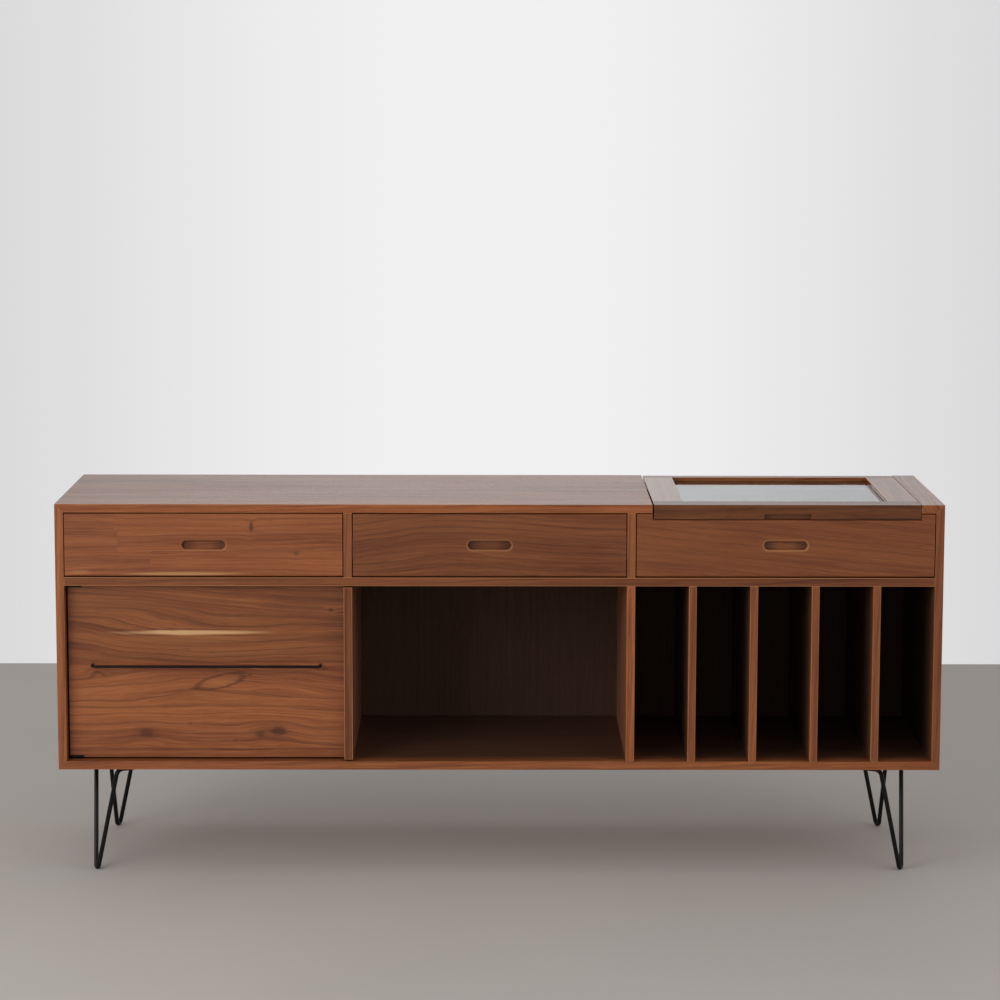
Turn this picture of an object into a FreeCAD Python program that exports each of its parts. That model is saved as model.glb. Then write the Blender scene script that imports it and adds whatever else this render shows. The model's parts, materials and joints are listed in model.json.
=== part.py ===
import FreeCAD, Part

# Record cabinet on hairpin legs: three drawers, a hinged door, an open bay, five record slots
# and a glazed lid over the right-hand drawer.
# Millimetres, +Z up. The front faces -Y and the origin is on the floor under the middle of the case.

import math
import os
import re

import Sketcher

Vector = FreeCAD.Vector

# Every independent size of the cabinet, in millimetres
SIZES = {
    # Case
    "case_width": 1780.0,
    "case_depth": 460.0,
    "board": 17.0,
    "back_thickness": 9.0,
    "drawer_row_height": 131.0,
    "record_bay_height": 359.0,
    "left_bay_width": 560.0,
    "middle_bay_width": 551.0,
    "record_board": 15.5,
    "top_strip_width": 46.0,
    "top_lap": 33.0,
    # Lid and its glass
    "lid_thickness": 29.0,
    "lid_gap": 3.0,
    "lid_right_gap": 1.2,
    "lid_stile_width": 61.0,
    "lid_front_rail_depth": 54.0,
    "lid_back_rail_depth": 30.0,
    "glass_drop": 8.0,
    "glass_thickness": 5.0,
    "glass_rebate": 8.0,
    "glass_clearance": 1.0,
    "glass_stop_recess": 2.0,
    "finger_notch_length": 93.0,
    "finger_notch_height": 10.5,
    "finger_notch_depth": 12.0,
    "lid_rest_lap": 10.0,
    "lid_rest_thickness": 12.0,
    "hinge_rail_depth": 20.0,
    "hinge_rail_height": 40.0,
    # Butt hinges of the lid
    "lid_hinge_length": 50.0,
    "lid_hinge_inset": 70.0,
    "lid_leaf_width": 18.0,
    "lid_leaf_thickness": 1.5,
    "lid_barrel_radius": 3.0,
    "lid_barrel_gap": 1.0,
    "lid_leaf_gap": 0.5,
    "lid_pin_radius": 1.5,
    "knuckle_gap": 0.3,
    # Drawers
    "drawer_gap": 2.0,
    "drawer_front_thickness": 18.0,
    "drawer_back_gap": 23.0,
    "drawer_top_gap": 8.0,
    "drawer_side_thickness": 12.0,
    "drawer_bottom_thickness": 6.0,
    "drawer_box_lift": 8.0,
    "lid_notch_gap": 1.5,
    "pull_length": 86.0,
    "pull_height": 17.0,
    "pull_depth": 10.0,
    "pull_lip_radius": 4.0,
    # Drawer slides
    "slide_space": 13.0,
    "slide_back_gap": 25.0,
    "slide_height": 45.0,
    "slide_lip_gap": 0.8,
    "slide_wall": 1.2,
    "slide_clearance": 0.3,
    "slide_setback": 5.0,
    # Door
    "door_recess": 24.0,
    "door_thickness": 17.0,
    "door_side_gap": 4.0,
    "door_end_gap": 3.5,
    "door_stop_gap": 1.0,
    "door_bottom_strip_height": 19.0,
    "door_lower_board_height": 175.0,
    "handle_length": 465.0,
    "handle_rod": 5.5,
    "handle_standoff": 20.0,
    "handle_bend": 8.0,
    "handle_height": 190.0,
    "handle_screw_radius": 1.5,
    "handle_screw_grip": 8.0,
    # Pivot hinges and catch of the door
    "pivot_inset": 14.0,
    "pivot_depth": 8.0,
    "pivot_pin_radius": 2.5,
    "pivot_collar_radius": 5.0,
    "pivot_leaf_length": 28.0,
    "pivot_leaf_thickness": 4.0,
    "pivot_plate_length": 30.0,
    "pivot_plate_thickness": 1.5,
    "pivot_end_clearance": 0.3,
    "catch_length": 30.0,
    "catch_height": 12.0,
    "catch_depth": 14.0,
    "catch_inset": 40.0,
    "strike_thickness": 1.0,
    "strike_margin": 2.0,
    # Hairpin legs
    "leg_height": 218.0,
    "leg_rod": 9.0,
    "foot_inset_side": 69.0,
    "foot_inset_front": 45.0,
    "outer_rod_splay": 9.0,
    "outer_rod_run": 85.0,
    "inner_rod_splay": 12.0,
    "inner_rod_run": 46.0,
    "foot_bend": 7.0,
    "shoulder_bend": 14.0,
    "shoulder_length": 45.0,
    "leg_plate_thickness": 3.0,
    "leg_plate_width": 65.0,
    "leg_plate_margin": 12.0,
    # Screws, and clearances that serve every fit
    "screw_radius": 2.25,
    "screw_grip": 12.0,
    "screw_head_radius": 4.5,
    "screw_head_height": 3.0,
    "screw_clearance": 0.1,
    "pin_clearance": 0.05,
    "overrun": 5.0,
}

RECORD_SLOTS = 5
# Places of the four screws in a leg plate, along and across it
SCREW_ALONG_SHARES = (0.28, 0.72)
SCREW_ACROSS_SHARES = (0.28, 0.76)

# Places that follow from the sizes
RULES = {
    "front": "-case_depth / 2",
    "back": "case_depth / 2",
    "back_inner": "back - back_thickness",
    "outer_left": "-case_width / 2",
    "outer_right": "case_width / 2",
    "inner_left": "outer_left + board",
    "inner_right": "outer_right - board",
    "floor_top": "leg_height + board",
    "shelf_under": "floor_top + record_bay_height",
    "shelf_top": "shelf_under + board",
    "top_under": "shelf_top + drawer_row_height",
    "top_face": "top_under + board",
    "left_divider": "inner_left + left_bay_width",
    "middle_bay": "left_divider + board",
    "right_divider": "middle_bay + middle_bay_width",
    "right_bay": "right_divider + board",
    "strip_left": "outer_right - top_strip_width",
    "lid_right": "strip_left - lid_right_gap",
    "lid_left": "right_bay + top_lap + lid_gap",
    "lid_under": "top_face - lid_thickness",
    "lid_back": "back - 2 * lid_barrel_radius - lid_barrel_gap",
    "glass_left": "lid_left + lid_stile_width",
    "glass_right": "lid_right - lid_stile_width",
    "glass_front": "front + lid_front_rail_depth",
    "glass_back": "lid_back - lid_back_rail_depth",
    "glass_top": "top_face - glass_drop",
    "glass_under": "glass_top - glass_thickness",
    "lid_axis_y": "back - lid_barrel_radius",
    "lid_axis_z": "lid_under - lid_leaf_gap / 2",
    "rail_top": "lid_under - lid_leaf_gap",
    "rail_front": "back_inner - hinge_rail_depth",
    "back_lowered_top": "lid_axis_z - 2 * lid_barrel_radius",
    "leaf_back": "lid_axis_y - lid_barrel_radius - lid_barrel_gap / 2",
    "leaf_front": "leaf_back - lid_leaf_width",
    "box_front": "front + drawer_front_thickness",
    "box_back": "rail_front - drawer_back_gap",
    "box_under": "shelf_top + drawer_box_lift",
    "box_floor": "box_under + drawer_bottom_thickness",
    "box_top": "lid_under - lid_rest_thickness - drawer_top_gap",
    "slide_middle": "(box_floor + box_top) / 2",
    "slide_front": "box_front + slide_setback",
    "slide_back": "box_back - slide_back_gap",
    "runner_lip": "slide_space - slide_wall - slide_lip_gap",
    "slide_lip": "slide_wall + slide_lip_gap",
    "pull_z": "(shelf_top + top_under) / 2",
    "door_left": "inner_left + door_side_gap",
    "door_face": "front + door_recess",
    "door_back": "door_face + door_thickness",
    "door_bottom": "floor_top + door_end_gap",
    "door_top": "shelf_under - door_end_gap",
    "door_strip_top": "door_bottom + door_bottom_strip_height",
    "door_seam": "door_strip_top + door_lower_board_height",
    "pivot_x": "inner_left + pivot_inset",
    "pivot_y": "door_face + pivot_depth",
    "pivot_leaf_right": "door_left + pivot_leaf_length",
    "pivot_leaf_back": "pivot_y + pivot_depth",
    "handle_left": "(door_left + left_divider - handle_length) / 2",
    "handle_right": "(door_left + left_divider + handle_length) / 2",
    "handle_y": "door_face - handle_standoff",
    "handle_z": "door_bottom + handle_height",
    "catch_right": "left_divider - catch_inset",
    "catch_left": "catch_right - catch_length",
    "catch_under": "shelf_under - catch_height",
    "plate_under": "leg_height - leg_plate_thickness",
    "leg_span": "sqrt((outer_rod_splay + inner_rod_run)^2 + (outer_rod_run + inner_rod_splay)^2)",
    "leg_plate_length": "leg_span + 2 * leg_plate_margin",
}

# Which way a round bar points when it is turned from upright
TURNS = {
    "x": FreeCAD.Rotation(Vector(0, 1, 0), 90),
    "y": FreeCAD.Rotation(Vector(1, 0, 0), -90),
    "z": FreeCAD.Rotation(),
}

doc = FreeCAD.newDocument("record_cabinet")
sheet = doc.addObject("Spreadsheet::Sheet", "Sizes")
for row, (size_name, size) in enumerate(SIZES.items(), start=1):
    sheet.set(f"A{row}", size_name)
    sheet.set(f"B{row}", str(size))
    sheet.setAlias(f"B{row}", size_name)
doc.recompute()

pieces = []


def expand(rule):
    """Return a rule with its places written out and its sizes read from the sheet."""

    def swap(match):
        name = match.group()
        if name in RULES:
            return f"({expand(RULES[name])})"
        if name in SIZES:
            return f"Sizes.{name}"
        return name

    return re.sub(r"[a-z][a-z_]*", swap, rule)


def value(rule):
    """Return the number that a rule comes to."""
    return float(sheet.evalExpression(expand(rule)))


def bind(item, **rules):
    """Bind properties of an object to rules."""
    for property_name, rule in rules.items():
        item.setExpression(property_name, expand(rule))


def place(item, *rules):
    """Bind the three coordinates of an object's place to rules."""
    for axis, rule in zip("xyz", rules):
        item.setExpression(f"Placement.Base.{axis}", expand(rule))


def piece(item):
    """Count an object as a sub-part, named for its file."""
    item.Label = item.Name
    pieces.append(item)
    return item


def block(name, *spans):
    """Add a box between a low and a high rule on each axis."""
    box = doc.addObject("Part::Box", name)
    for side, (low, high) in zip(("Length", "Width", "Height"), spans):
        bind(box, **{side: f"({high}) - ({low})"})
    place(box, *(low for low, high in spans))
    return box


def bar(name, radius, length, axis, *start):
    """Add a round bar that starts at a point and runs along an axis."""
    cylinder = doc.addObject("Part::Cylinder", name)
    cylinder.Placement = FreeCAD.Placement(Vector(), TURNS[axis])
    bind(cylinder, Radius=radius, Height=length)
    place(cylinder, *start)
    return cylinder


def standing_bar(name, radius, length, foot):
    """Add an upright round bar on a worked-out point."""
    cylinder = doc.addObject("Part::Cylinder", name)
    bind(cylinder, Radius=radius, Height=length)
    cylinder.Placement.Base = foot
    return cylinder


def group(name, *items):
    """Keep separate solids together in one object."""
    compound = doc.addObject("Part::Compound", name)
    compound.Links = list(items)
    return compound


def fuse(name, *items):
    """Join overlapping or touching shapes into one solid."""
    joined = doc.addObject("Part::MultiFuse", name)
    joined.Shapes = list(items)
    joined.Refine = True
    return joined


def cut(name, base, *tools):
    """Take tools that don't touch each other away from a base."""
    result = doc.addObject("Part::Cut", name)
    result.Base = base
    result.Tool = tools[0] if len(tools) == 1 else group(f"{name}_cutters", *tools)
    return result


def front_sketch(body, name):
    """Add a sketch on a body's own front plane, X to the right and Z up."""
    plane = next(item for item in body.Origin.OriginFeatures if item.Role == "XZ_Plane")
    sketch = body.newObject("Sketcher::SketchObject", name)
    sketch.AttachmentSupport = [(plane, "")]
    sketch.MapMode = "FlatFace"
    return sketch


def measure(sketch, kind, rule, *elements):
    """Add a dimension to a sketch and bind it to a rule."""
    index = sketch.addConstraint(Sketcher.Constraint(kind, *elements, value(rule)))
    sketch.setExpression(f"Constraints[{index}]", expand(rule))


def draw_outline(sketch, corners):
    """Draw a closed outline through corners given as pairs of rules."""
    points = [Vector(value(across), value(up), 0) for across, up in corners]
    for start, end in zip(points, points[1:] + points[:1]):
        sketch.addGeometry(Part.LineSegment(start, end), False)
    for line in range(len(points)):
        sketch.addConstraint(Sketcher.Constraint("Coincident", line, 2, (line + 1) % len(points), 1))
    for line, (across, up) in enumerate(corners):
        measure(sketch, "DistanceX", across, -1, 1, line, 1)
        measure(sketch, "DistanceY", up, -1, 1, line, 1)


def draw_pill(sketch, across, up):
    """Draw the outline of a finger pull, a slot with round ends, about its middle."""
    radius = value("pull_height / 2")
    half = value("(pull_length - pull_height) / 2")
    middle = Vector(value(across), value(up), 0)
    left = middle - Vector(half, 0, 0)
    right = middle + Vector(half, 0, 0)
    rise = Vector(0, radius, 0)
    upright = Vector(0, 0, 1)
    quarter = math.pi / 2
    sketch.addGeometry(Part.LineSegment(left - rise, right - rise), False)
    sketch.addGeometry(Part.ArcOfCircle(Part.Circle(right, upright, radius), -quarter, quarter), False)
    sketch.addGeometry(Part.LineSegment(right + rise, left + rise), False)
    sketch.addGeometry(Part.ArcOfCircle(Part.Circle(left, upright, radius), quarter, 3 * quarter), False)
    for first in range(4):
        sketch.addConstraint(Sketcher.Constraint("Tangent", first, 2, (first + 1) % 4, 1))
    sketch.addConstraint(Sketcher.Constraint("Horizontal", 0))
    measure(sketch, "Radius", "pull_height / 2", 1)
    measure(sketch, "DistanceX", f"{across} + (pull_length - pull_height) / 2", -1, 1, 1, 3)
    measure(sketch, "DistanceX", f"{across} - (pull_length - pull_height) / 2", -1, 1, 3, 3)
    measure(sketch, "DistanceY", up, -1, 1, 1, 3)


def padded_outline(name, corners, length):
    """Add a body whose outline, seen from the front, runs back from the plane of the origin."""
    body = doc.addObject("PartDesign::Body", name)
    sketch = front_sketch(body, f"{name}_outline")
    draw_outline(sketch, corners)
    pad = body.newObject("PartDesign::Pad", f"{name}_pad")
    pad.Profile = sketch
    pad.Reversed = True
    bind(pad, Length=length)
    return body


def mitred_board(name, corners):
    """Add a case board as deep as the case, whose mitred ends show in its outline."""
    body = padded_outline(name, corners, "case_depth")
    place(body, "0", "front", "0")
    return body


def bent_rod(points, bends, radius):
    """Return a round rod along straight runs that are joined by tangent arcs."""
    edges = []
    start = points[0]
    for before, corner, after, bend in zip(points, points[1:], points[2:], bends):
        arriving = (before - corner).normalize()
        leaving = (after - corner).normalize()
        half = arriving.getAngle(leaving) / 2
        arc_start = corner + arriving * (bend / math.tan(half))
        arc_end = corner + leaving * (bend / math.tan(half))
        inward = (arriving + leaving).normalize()
        arc_middle = corner + inward * (bend / math.sin(half) - bend)
        edges.append(Part.LineSegment(start, arc_start).toShape())
        edges.append(Part.Arc(arc_start, arc_middle, arc_end).toShape())
        start = arc_end
    edges.append(Part.LineSegment(start, points[-1]).toShape())
    section = Part.Circle(points[0], points[1] - points[0], radius).toShape()
    return Part.Wire(edges).makePipeShell([Part.Wire([section])], True, False)


def make_case():
    """Build the fixed boards of the case."""
    piece(mitred_board("side_left", (
        ("outer_left", "leg_height"),
        ("outer_left", "top_face"),
        ("inner_left", "top_under"),
        ("inner_left", "floor_top"),
    )))
    piece(mitred_board("side_right", (
        ("outer_right", "leg_height"),
        ("outer_right", "top_face"),
        ("inner_right", "top_under"),
        ("inner_right", "floor_top"),
    )))
    piece(mitred_board("top_panel", (
        ("outer_left", "top_face"),
        ("lid_left - lid_gap", "top_face"),
        ("lid_left - lid_gap", "top_under"),
        ("inner_left", "top_under"),
    )))
    piece(mitred_board("top_strip_right", (
        ("strip_left", "top_face"),
        ("outer_right", "top_face"),
        ("inner_right", "top_under"),
        ("strip_left", "top_under"),
    )))
    bottom = mitred_board("bottom_panel_blank", (
        ("outer_left", "leg_height"),
        ("outer_right", "leg_height"),
        ("inner_right", "floor_top"),
        ("inner_left", "floor_top"),
    ))
    depth = ("front", "back_inner")
    upper = ("shelf_top", "top_under")
    lower = ("floor_top", "shelf_under")
    piece(block("mid_shelf", ("inner_left", "inner_right"), depth, ("shelf_under", "shelf_top")))
    piece(block("upper_divider_left", ("left_divider", "middle_bay"), depth, upper))
    piece(block("upper_divider_right", ("right_divider", "right_bay"), depth, upper))
    # The door's edge batten closes against this divider, so it stands behind the door
    behind_door = ("door_back + door_stop_gap", "back_inner")
    piece(block("lower_divider_left", ("left_divider", "middle_bay"), behind_door, lower))
    piece(block("lower_divider_right", ("right_divider", "right_bay"), depth, lower))
    boards = f"{RECORD_SLOTS - 1} * record_board"
    slot = f"(inner_right - right_bay - {boards}) / {RECORD_SLOTS}"
    for number in range(1, RECORD_SLOTS):
        left = f"right_bay + {number} * {slot} + {number - 1} * record_board"
        piece(block(f"record_divider_{number}", (left, f"{left} + record_board"), depth, lower))
    back = block(
        "back_panel_blank",
        ("inner_left", "inner_right"),
        ("back_inner", "back"),
        ("floor_top", "top_under"),
    )
    # The back is lower behind the lid, to leave room for the hinge barrels
    hinge_room = block(
        "hinge_room",
        ("right_bay", "inner_right + overrun"),
        ("back_inner - overrun", "back + overrun"),
        ("back_lowered_top", "top_under + overrun"),
    )
    piece(cut("back_panel", back, hinge_room))
    return bottom


def make_lid_seat():
    """Build what carries the lid: two rests at its sides and the rail that it is hinged to."""
    length = ("box_front + drawer_gap", "rail_front")
    height = ("lid_under - lid_rest_thickness", "lid_under")
    left = block("lid_rest_left", ("right_bay", "lid_left + lid_rest_lap"), length, height)
    right = block("lid_rest_right", ("lid_right - lid_rest_lap", "inner_right"), length, height)
    piece(group("lid_rests", left, right))
    rail = block(
        "lid_hinge_rail_blank",
        ("right_bay", "inner_right"),
        ("rail_front", "back_inner"),
        ("rail_top - hinge_rail_height", "rail_top"),
    )
    mortises = [
        block(
            f"hinge_rail_mortise_{side}",
            (left_end, f"{left_end} + lid_hinge_length"),
            ("leaf_front", "back_inner + overrun"),
            ("rail_top - lid_leaf_thickness", "rail_top + overrun"),
        )
        for side, left_end in lid_hinge_places().items()
    ]
    piece(cut("lid_hinge_rail", rail, *mortises))


def lid_hinge_places():
    """Return the left end of each lid hinge as a rule."""
    return {
        "left": "lid_left + lid_hinge_inset",
        "right": "lid_right - lid_hinge_inset - lid_hinge_length",
    }


def make_lid():
    """Build the lid: a rebated frame, its glass, the stops below the glass and the hinges."""
    across = ("lid_left", "lid_right")
    height = ("lid_under", "top_face")
    seat = block(
        "glass_seat",
        ("glass_left - glass_rebate", "glass_right + glass_rebate"),
        ("glass_front - glass_rebate", "glass_back + glass_rebate"),
        ("lid_under - overrun", "glass_top"),
    )
    middle = "(lid_left + lid_right) / 2"
    finger_notch = block(
        "finger_notch",
        (f"{middle} - finger_notch_length / 2", f"{middle} + finger_notch_length / 2"),
        ("front - overrun", "front + finger_notch_depth"),
        ("lid_under - overrun", "lid_under + finger_notch_height"),
    )
    front_blank = block("lid_front_blank", across, ("front", "glass_front"), height)
    front_notched = cut("lid_front_notched", front_blank, finger_notch)
    piece(cut("lid_front_rail", front_notched, seat))
    between = ("glass_front", "glass_back")
    left_blank = block("lid_left_blank", ("lid_left", "glass_left"), between, height)
    piece(cut("lid_left_stile", left_blank, seat))
    right_blank = block("lid_right_blank", ("glass_right", "lid_right"), between, height)
    piece(cut("lid_right_stile", right_blank, seat))
    back_blank = block("lid_back_blank", across, ("glass_back", "lid_back"), height)
    back_rebated = cut("lid_back_rebated", back_blank, seat)
    mortises = [
        block(
            f"lid_mortise_{side}",
            (left_end, f"{left_end} + lid_hinge_length"),
            ("leaf_front", "lid_back + overrun"),
            ("lid_under - overrun", "lid_under + lid_leaf_thickness"),
        )
        for side, left_end in lid_hinge_places().items()
    ]
    piece(cut("lid_back_rail", back_rebated, *mortises))
    edge = "glass_rebate - glass_clearance"
    glass_x = (f"glass_left - ({edge})", f"glass_right + {edge}")
    glass_y = (f"glass_front - ({edge})", f"glass_back + {edge}")
    piece(block("lid_glass", glass_x, glass_y, ("glass_under", "glass_top")))
    stop_height = ("lid_under + glass_stop_recess", "glass_under")
    long_y = ("glass_front - glass_rebate", "glass_back + glass_rebate")
    stops = (
        block("glass_stop_left", ("glass_left - glass_rebate", "glass_left"), long_y, stop_height),
        block("glass_stop_right", ("glass_right", "glass_right + glass_rebate"), long_y, stop_height),
        block("glass_stop_front", ("glass_left", "glass_right"),
              ("glass_front - glass_rebate", "glass_front"), stop_height),
        block("glass_stop_back", ("glass_left", "glass_right"),
              ("glass_back", "glass_back + glass_rebate"), stop_height),
    )
    piece(group("lid_glass_stops", *stops))
    fixed = []
    moving = []
    for side, left_end in lid_hinge_places().items():
        fixed_half, moving_half = make_lid_hinge(side, left_end)
        fixed.append(fixed_half)
        moving.append(moving_half)
    piece(group("lid_hinge_lower_leaves", *fixed))
    piece(group("lid_hinge_upper_leaves", *moving))


def make_lid_hinge(side, left_end):
    """Return the fixed and the moving half of one butt hinge."""
    name = f"lid_hinge_{side}"
    whole = (left_end, f"{left_end} + lid_hinge_length")
    third = "lid_hinge_length / 3"
    knuckles = {
        "outer_a": (left_end, f"{left_end} + {third} - knuckle_gap"),
        "inner": (f"{left_end} + {third}", f"{left_end} + 2 * {third}"),
        "outer_b": (f"{left_end} + 2 * {third} + knuckle_gap", f"{left_end} + lid_hinge_length"),
    }
    low = ("rail_top - lid_leaf_thickness", "rail_top")
    high = ("lid_under", "lid_under + lid_leaf_thickness")

    def knuckle(part, leaf_height):
        start, end = knuckles[part]
        barrel = bar(f"{name}_{part}_barrel", "lid_barrel_radius", f"{end} - ({start})", "x",
                     start, "lid_axis_y", "lid_axis_z")
        web = block(f"{name}_{part}_web", (start, end), ("leaf_back", "lid_axis_y"), leaf_height)
        return barrel, web

    pin = bar(f"{name}_pin", "lid_pin_radius", "lid_hinge_length", "x",
              left_end, "lid_axis_y", "lid_axis_z")
    lower_leaf = block(f"{name}_lower_leaf", whole, ("leaf_front", "leaf_back"), low)
    fixed = fuse(f"{name}_lower", lower_leaf, *knuckle("outer_a", low), *knuckle("outer_b", low), pin)
    upper_leaf = block(f"{name}_upper_leaf", whole, ("leaf_front", "leaf_back"), high)
    turning = fuse(f"{name}_upper_blank", upper_leaf, *knuckle("inner", high))
    bore = bar(f"{name}_bore", "lid_pin_radius + pin_clearance", "lid_hinge_length", "x",
               left_end, "lid_axis_y", "lid_axis_z")
    return fixed, cut(f"{name}_upper", turning, bore)


def make_drawer(name, bay_left, bay_right, notched):
    """Build a drawer, its slides and the runners that carry them in one bay."""
    low = "shelf_top + drawer_gap"
    high = "top_under - drawer_gap"
    left = f"{bay_left} + drawer_gap"
    right = f"{bay_right} - drawer_gap"
    outline = [(left, low), (left, high), (right, high), (right, low)]
    if notched:
        notch_floor = "lid_under - lid_notch_gap"
        notch = [
            ("lid_left - lid_gap", high),
            ("lid_left - lid_gap", notch_floor),
            ("lid_right + lid_right_gap", notch_floor),
            ("lid_right + lid_right_gap", high),
        ]
        outline[2:2] = notch
    make_drawer_front(f"{name}_front", outline, f"(({bay_left}) + ({bay_right})) / 2")

    box_left = f"{bay_left} + slide_space"
    box_right = f"{bay_right} - slide_space"
    length = ("box_front", "box_back")
    height = ("box_floor", "box_top")
    sides = (
        block(f"{name}_side_left", (box_left, f"{box_left} + drawer_side_thickness"), length, height),
        block(f"{name}_side_right", (f"{box_right} - drawer_side_thickness", box_right), length, height),
    )
    piece(group(f"{name}_sides", *sides))
    inside = (f"{box_left} + drawer_side_thickness", f"{box_right} - drawer_side_thickness")
    piece(block(f"{name}_back", inside, ("box_back - drawer_side_thickness", "box_back"), height))
    piece(block(f"{name}_bottom", (box_left, box_right), length, ("box_under", "box_floor")))

    runners = []
    slides = []
    walls = (("left", bay_left, "1"), ("right", bay_right, "-1"))
    for side, wall, inward in walls:
        runners.append(channel(
            f"{name}_runner_{side}", wall, inward, "0", "runner_lip", "slide_wall", "slide_height / 2"))
        inner_half = "slide_height / 2 - slide_wall - slide_clearance"
        slides.append(channel(
            f"{name}_slide_{side}", wall, inward, "slide_space", "slide_lip",
            "slide_space - slide_wall", inner_half))
    piece(group(f"{name}_runners", *runners))
    piece(group(f"{name}_slides", *slides))


def channel(name, wall, inward, web_face, lip, web_inner, half_height):
    """Return a slide channel; its places across are measured from the bay's wall, inwards."""

    def across(first, second):
        ends = [f"{wall} + {inward} * ({first})", f"{wall} + {inward} * ({second})"]
        return tuple(sorted(ends, key=value))

    length = ("slide_front", "slide_back")
    bulk = block(f"{name}_bulk", across(web_face, lip), length,
                 (f"slide_middle - ({half_height})", f"slide_middle + {half_height}"))
    beyond = f"{lip} + overrun" if value(lip) > value(web_face) else f"{lip} - overrun"
    hollow = block(
        f"{name}_hollow",
        across(web_inner, beyond),
        ("slide_front - overrun", "slide_back + overrun"),
        (f"slide_middle - ({half_height}) + slide_wall", f"slide_middle + {half_height} - slide_wall"),
    )
    return cut(name, bulk, hollow)


def make_drawer_front(name, outline, middle):
    """Build a drawer front with a routed finger pull whose lip is rounded over."""
    body = padded_outline(name, outline, "drawer_front_thickness")
    place(body, "0", "front", "0")
    sketch = front_sketch(body, f"{name}_pull_outline")
    draw_pill(sketch, middle, "pull_z")
    pocket = body.newObject("PartDesign::Pocket", f"{name}_pull")
    pocket.Profile = sketch
    bind(pocket, Length="pull_depth")
    doc.recompute()
    solid_volume = pocket.BaseFeature.Shape.Volume
    if pocket.Shape.Volume >= solid_volume:
        raise RuntimeError(f"the pull of {name} cuts nothing")
    centre = Vector(value(middle), 0, value("pull_z"))
    rim = []
    for number, edge in enumerate(pocket.Shape.Edges, start=1):
        reach = edge.CenterOfMass - centre
        at_face = edge.BoundBox.YMax < value("pull_depth / 2")
        if at_face and reach.Length < value("pull_length"):
            rim.append(f"Edge{number}")
    lip = body.newObject("PartDesign::Fillet", f"{name}_lip")
    lip.Base = (pocket, rim)
    bind(lip, Radius="pull_lip_radius")
    piece(body)


def make_door():
    """Build the door: three boards, its edge batten, the bar handle, pivot hinges and catch."""
    across = ("door_left", "left_divider")
    depth = ("door_face", "door_back")
    leaf_x = ("door_left", "pivot_leaf_right")
    leaf_y = ("door_face", "pivot_leaf_back")
    low_leaf_z = ("door_bottom", "door_bottom + pivot_leaf_thickness")
    high_leaf_z = ("door_top - pivot_leaf_thickness", "door_top")

    def leaf_notch(name, span):
        across_leaf = (f"{leaf_x[0]} - overrun", leaf_x[1])
        along_leaf = (f"{leaf_y[0]} - overrun", leaf_y[1])
        return block(name, across_leaf, along_leaf, span)

    strip = block("door_strip_blank", across, depth, ("door_bottom", "door_strip_top"))
    low_notch = leaf_notch("door_low_notch", ("door_bottom - overrun", low_leaf_z[1]))
    piece(cut("door_bottom_strip", strip, low_notch))

    lower = block("door_lower_blank", across, depth, ("door_strip_top", "door_seam"))
    holes = [
        bar(f"handle_hole_{side}", "handle_screw_radius + screw_clearance",
            "door_thickness + 2 * overrun", "y", x, "door_face - overrun", "handle_z")
        for side, x in handle_feet().items()
    ]
    piece(cut("door_lower_board", lower, *holes))

    upper = block("door_upper_blank", across, depth, ("door_seam", "door_top"))
    high_notch = leaf_notch("door_high_notch", (high_leaf_z[0], "door_top + overrun"))
    strike_x = ("catch_left", "catch_right")
    strike_y = ("door_back - strike_thickness", "door_back")
    strike_z = ("catch_under - strike_margin", "door_top - strike_margin")
    strike_seat = block("strike_seat", strike_x, (strike_y[0], "door_back + overrun"), strike_z)
    piece(cut("door_upper_board", upper, high_notch, strike_seat))
    piece(block("door_strike_plate", strike_x, strike_y, strike_z))
    piece(block("door_edge_batten", ("left_divider", "middle_bay"), ("front", "door_back"),
                ("door_bottom", "door_top")))
    piece(block("door_catch", ("catch_left", "catch_right"), ("door_back", "door_back + catch_depth"),
                ("catch_under", "shelf_under")))

    leaves = []
    for name, span in (("low", low_leaf_z), ("high", high_leaf_z)):
        leaf = block(f"pivot_leaf_{name}_blank", leaf_x, leaf_y, span)
        bore = bar(f"pivot_bore_{name}", "pivot_pin_radius + pin_clearance",
                   "pivot_leaf_thickness + 2 * overrun", "z", "pivot_x", "pivot_y", f"{span[0]} - overrun")
        leaves.append(cut(f"pivot_leaf_{name}", leaf, bore))
    piece(group("door_hinge_leaves", *leaves))
    piece(group("door_hinge_plates", make_pivot("low"), make_pivot("high")))
    make_handle()


def make_pivot(end):
    """Return a case plate of the door's pivot hinge, with its collar and pin."""
    plate_x = ("inner_left", "inner_left + pivot_plate_length")
    plate_y = ("door_face", "pivot_leaf_back")
    collar_length = "door_end_gap - pivot_plate_thickness - pivot_end_clearance"
    pin_length = "door_end_gap - pivot_plate_thickness + pivot_leaf_thickness - pivot_end_clearance"
    if end == "low":
        plate_z = ("floor_top", "floor_top + pivot_plate_thickness")
        collar_z = plate_z[1]
        pin_z = plate_z[1]
    else:
        plate_z = ("shelf_under - pivot_plate_thickness", "shelf_under")
        collar_z = f"{plate_z[0]} - ({collar_length})"
        pin_z = f"{plate_z[0]} - ({pin_length})"
    plate = block(f"pivot_plate_{end}", plate_x, plate_y, plate_z)
    collar = bar(f"pivot_collar_{end}", "pivot_collar_radius", collar_length, "z",
                 "pivot_x", "pivot_y", collar_z)
    pin = bar(f"pivot_pin_{end}", "pivot_pin_radius", pin_length, "z", "pivot_x", "pivot_y", pin_z)
    return fuse(f"pivot_{end}", plate, collar, pin)


def handle_feet():
    """Return where the two ends of the handle meet the door, across it, as rules."""
    return {"left": "handle_left + handle_rod / 2", "right": "handle_right - handle_rod / 2"}


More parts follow.
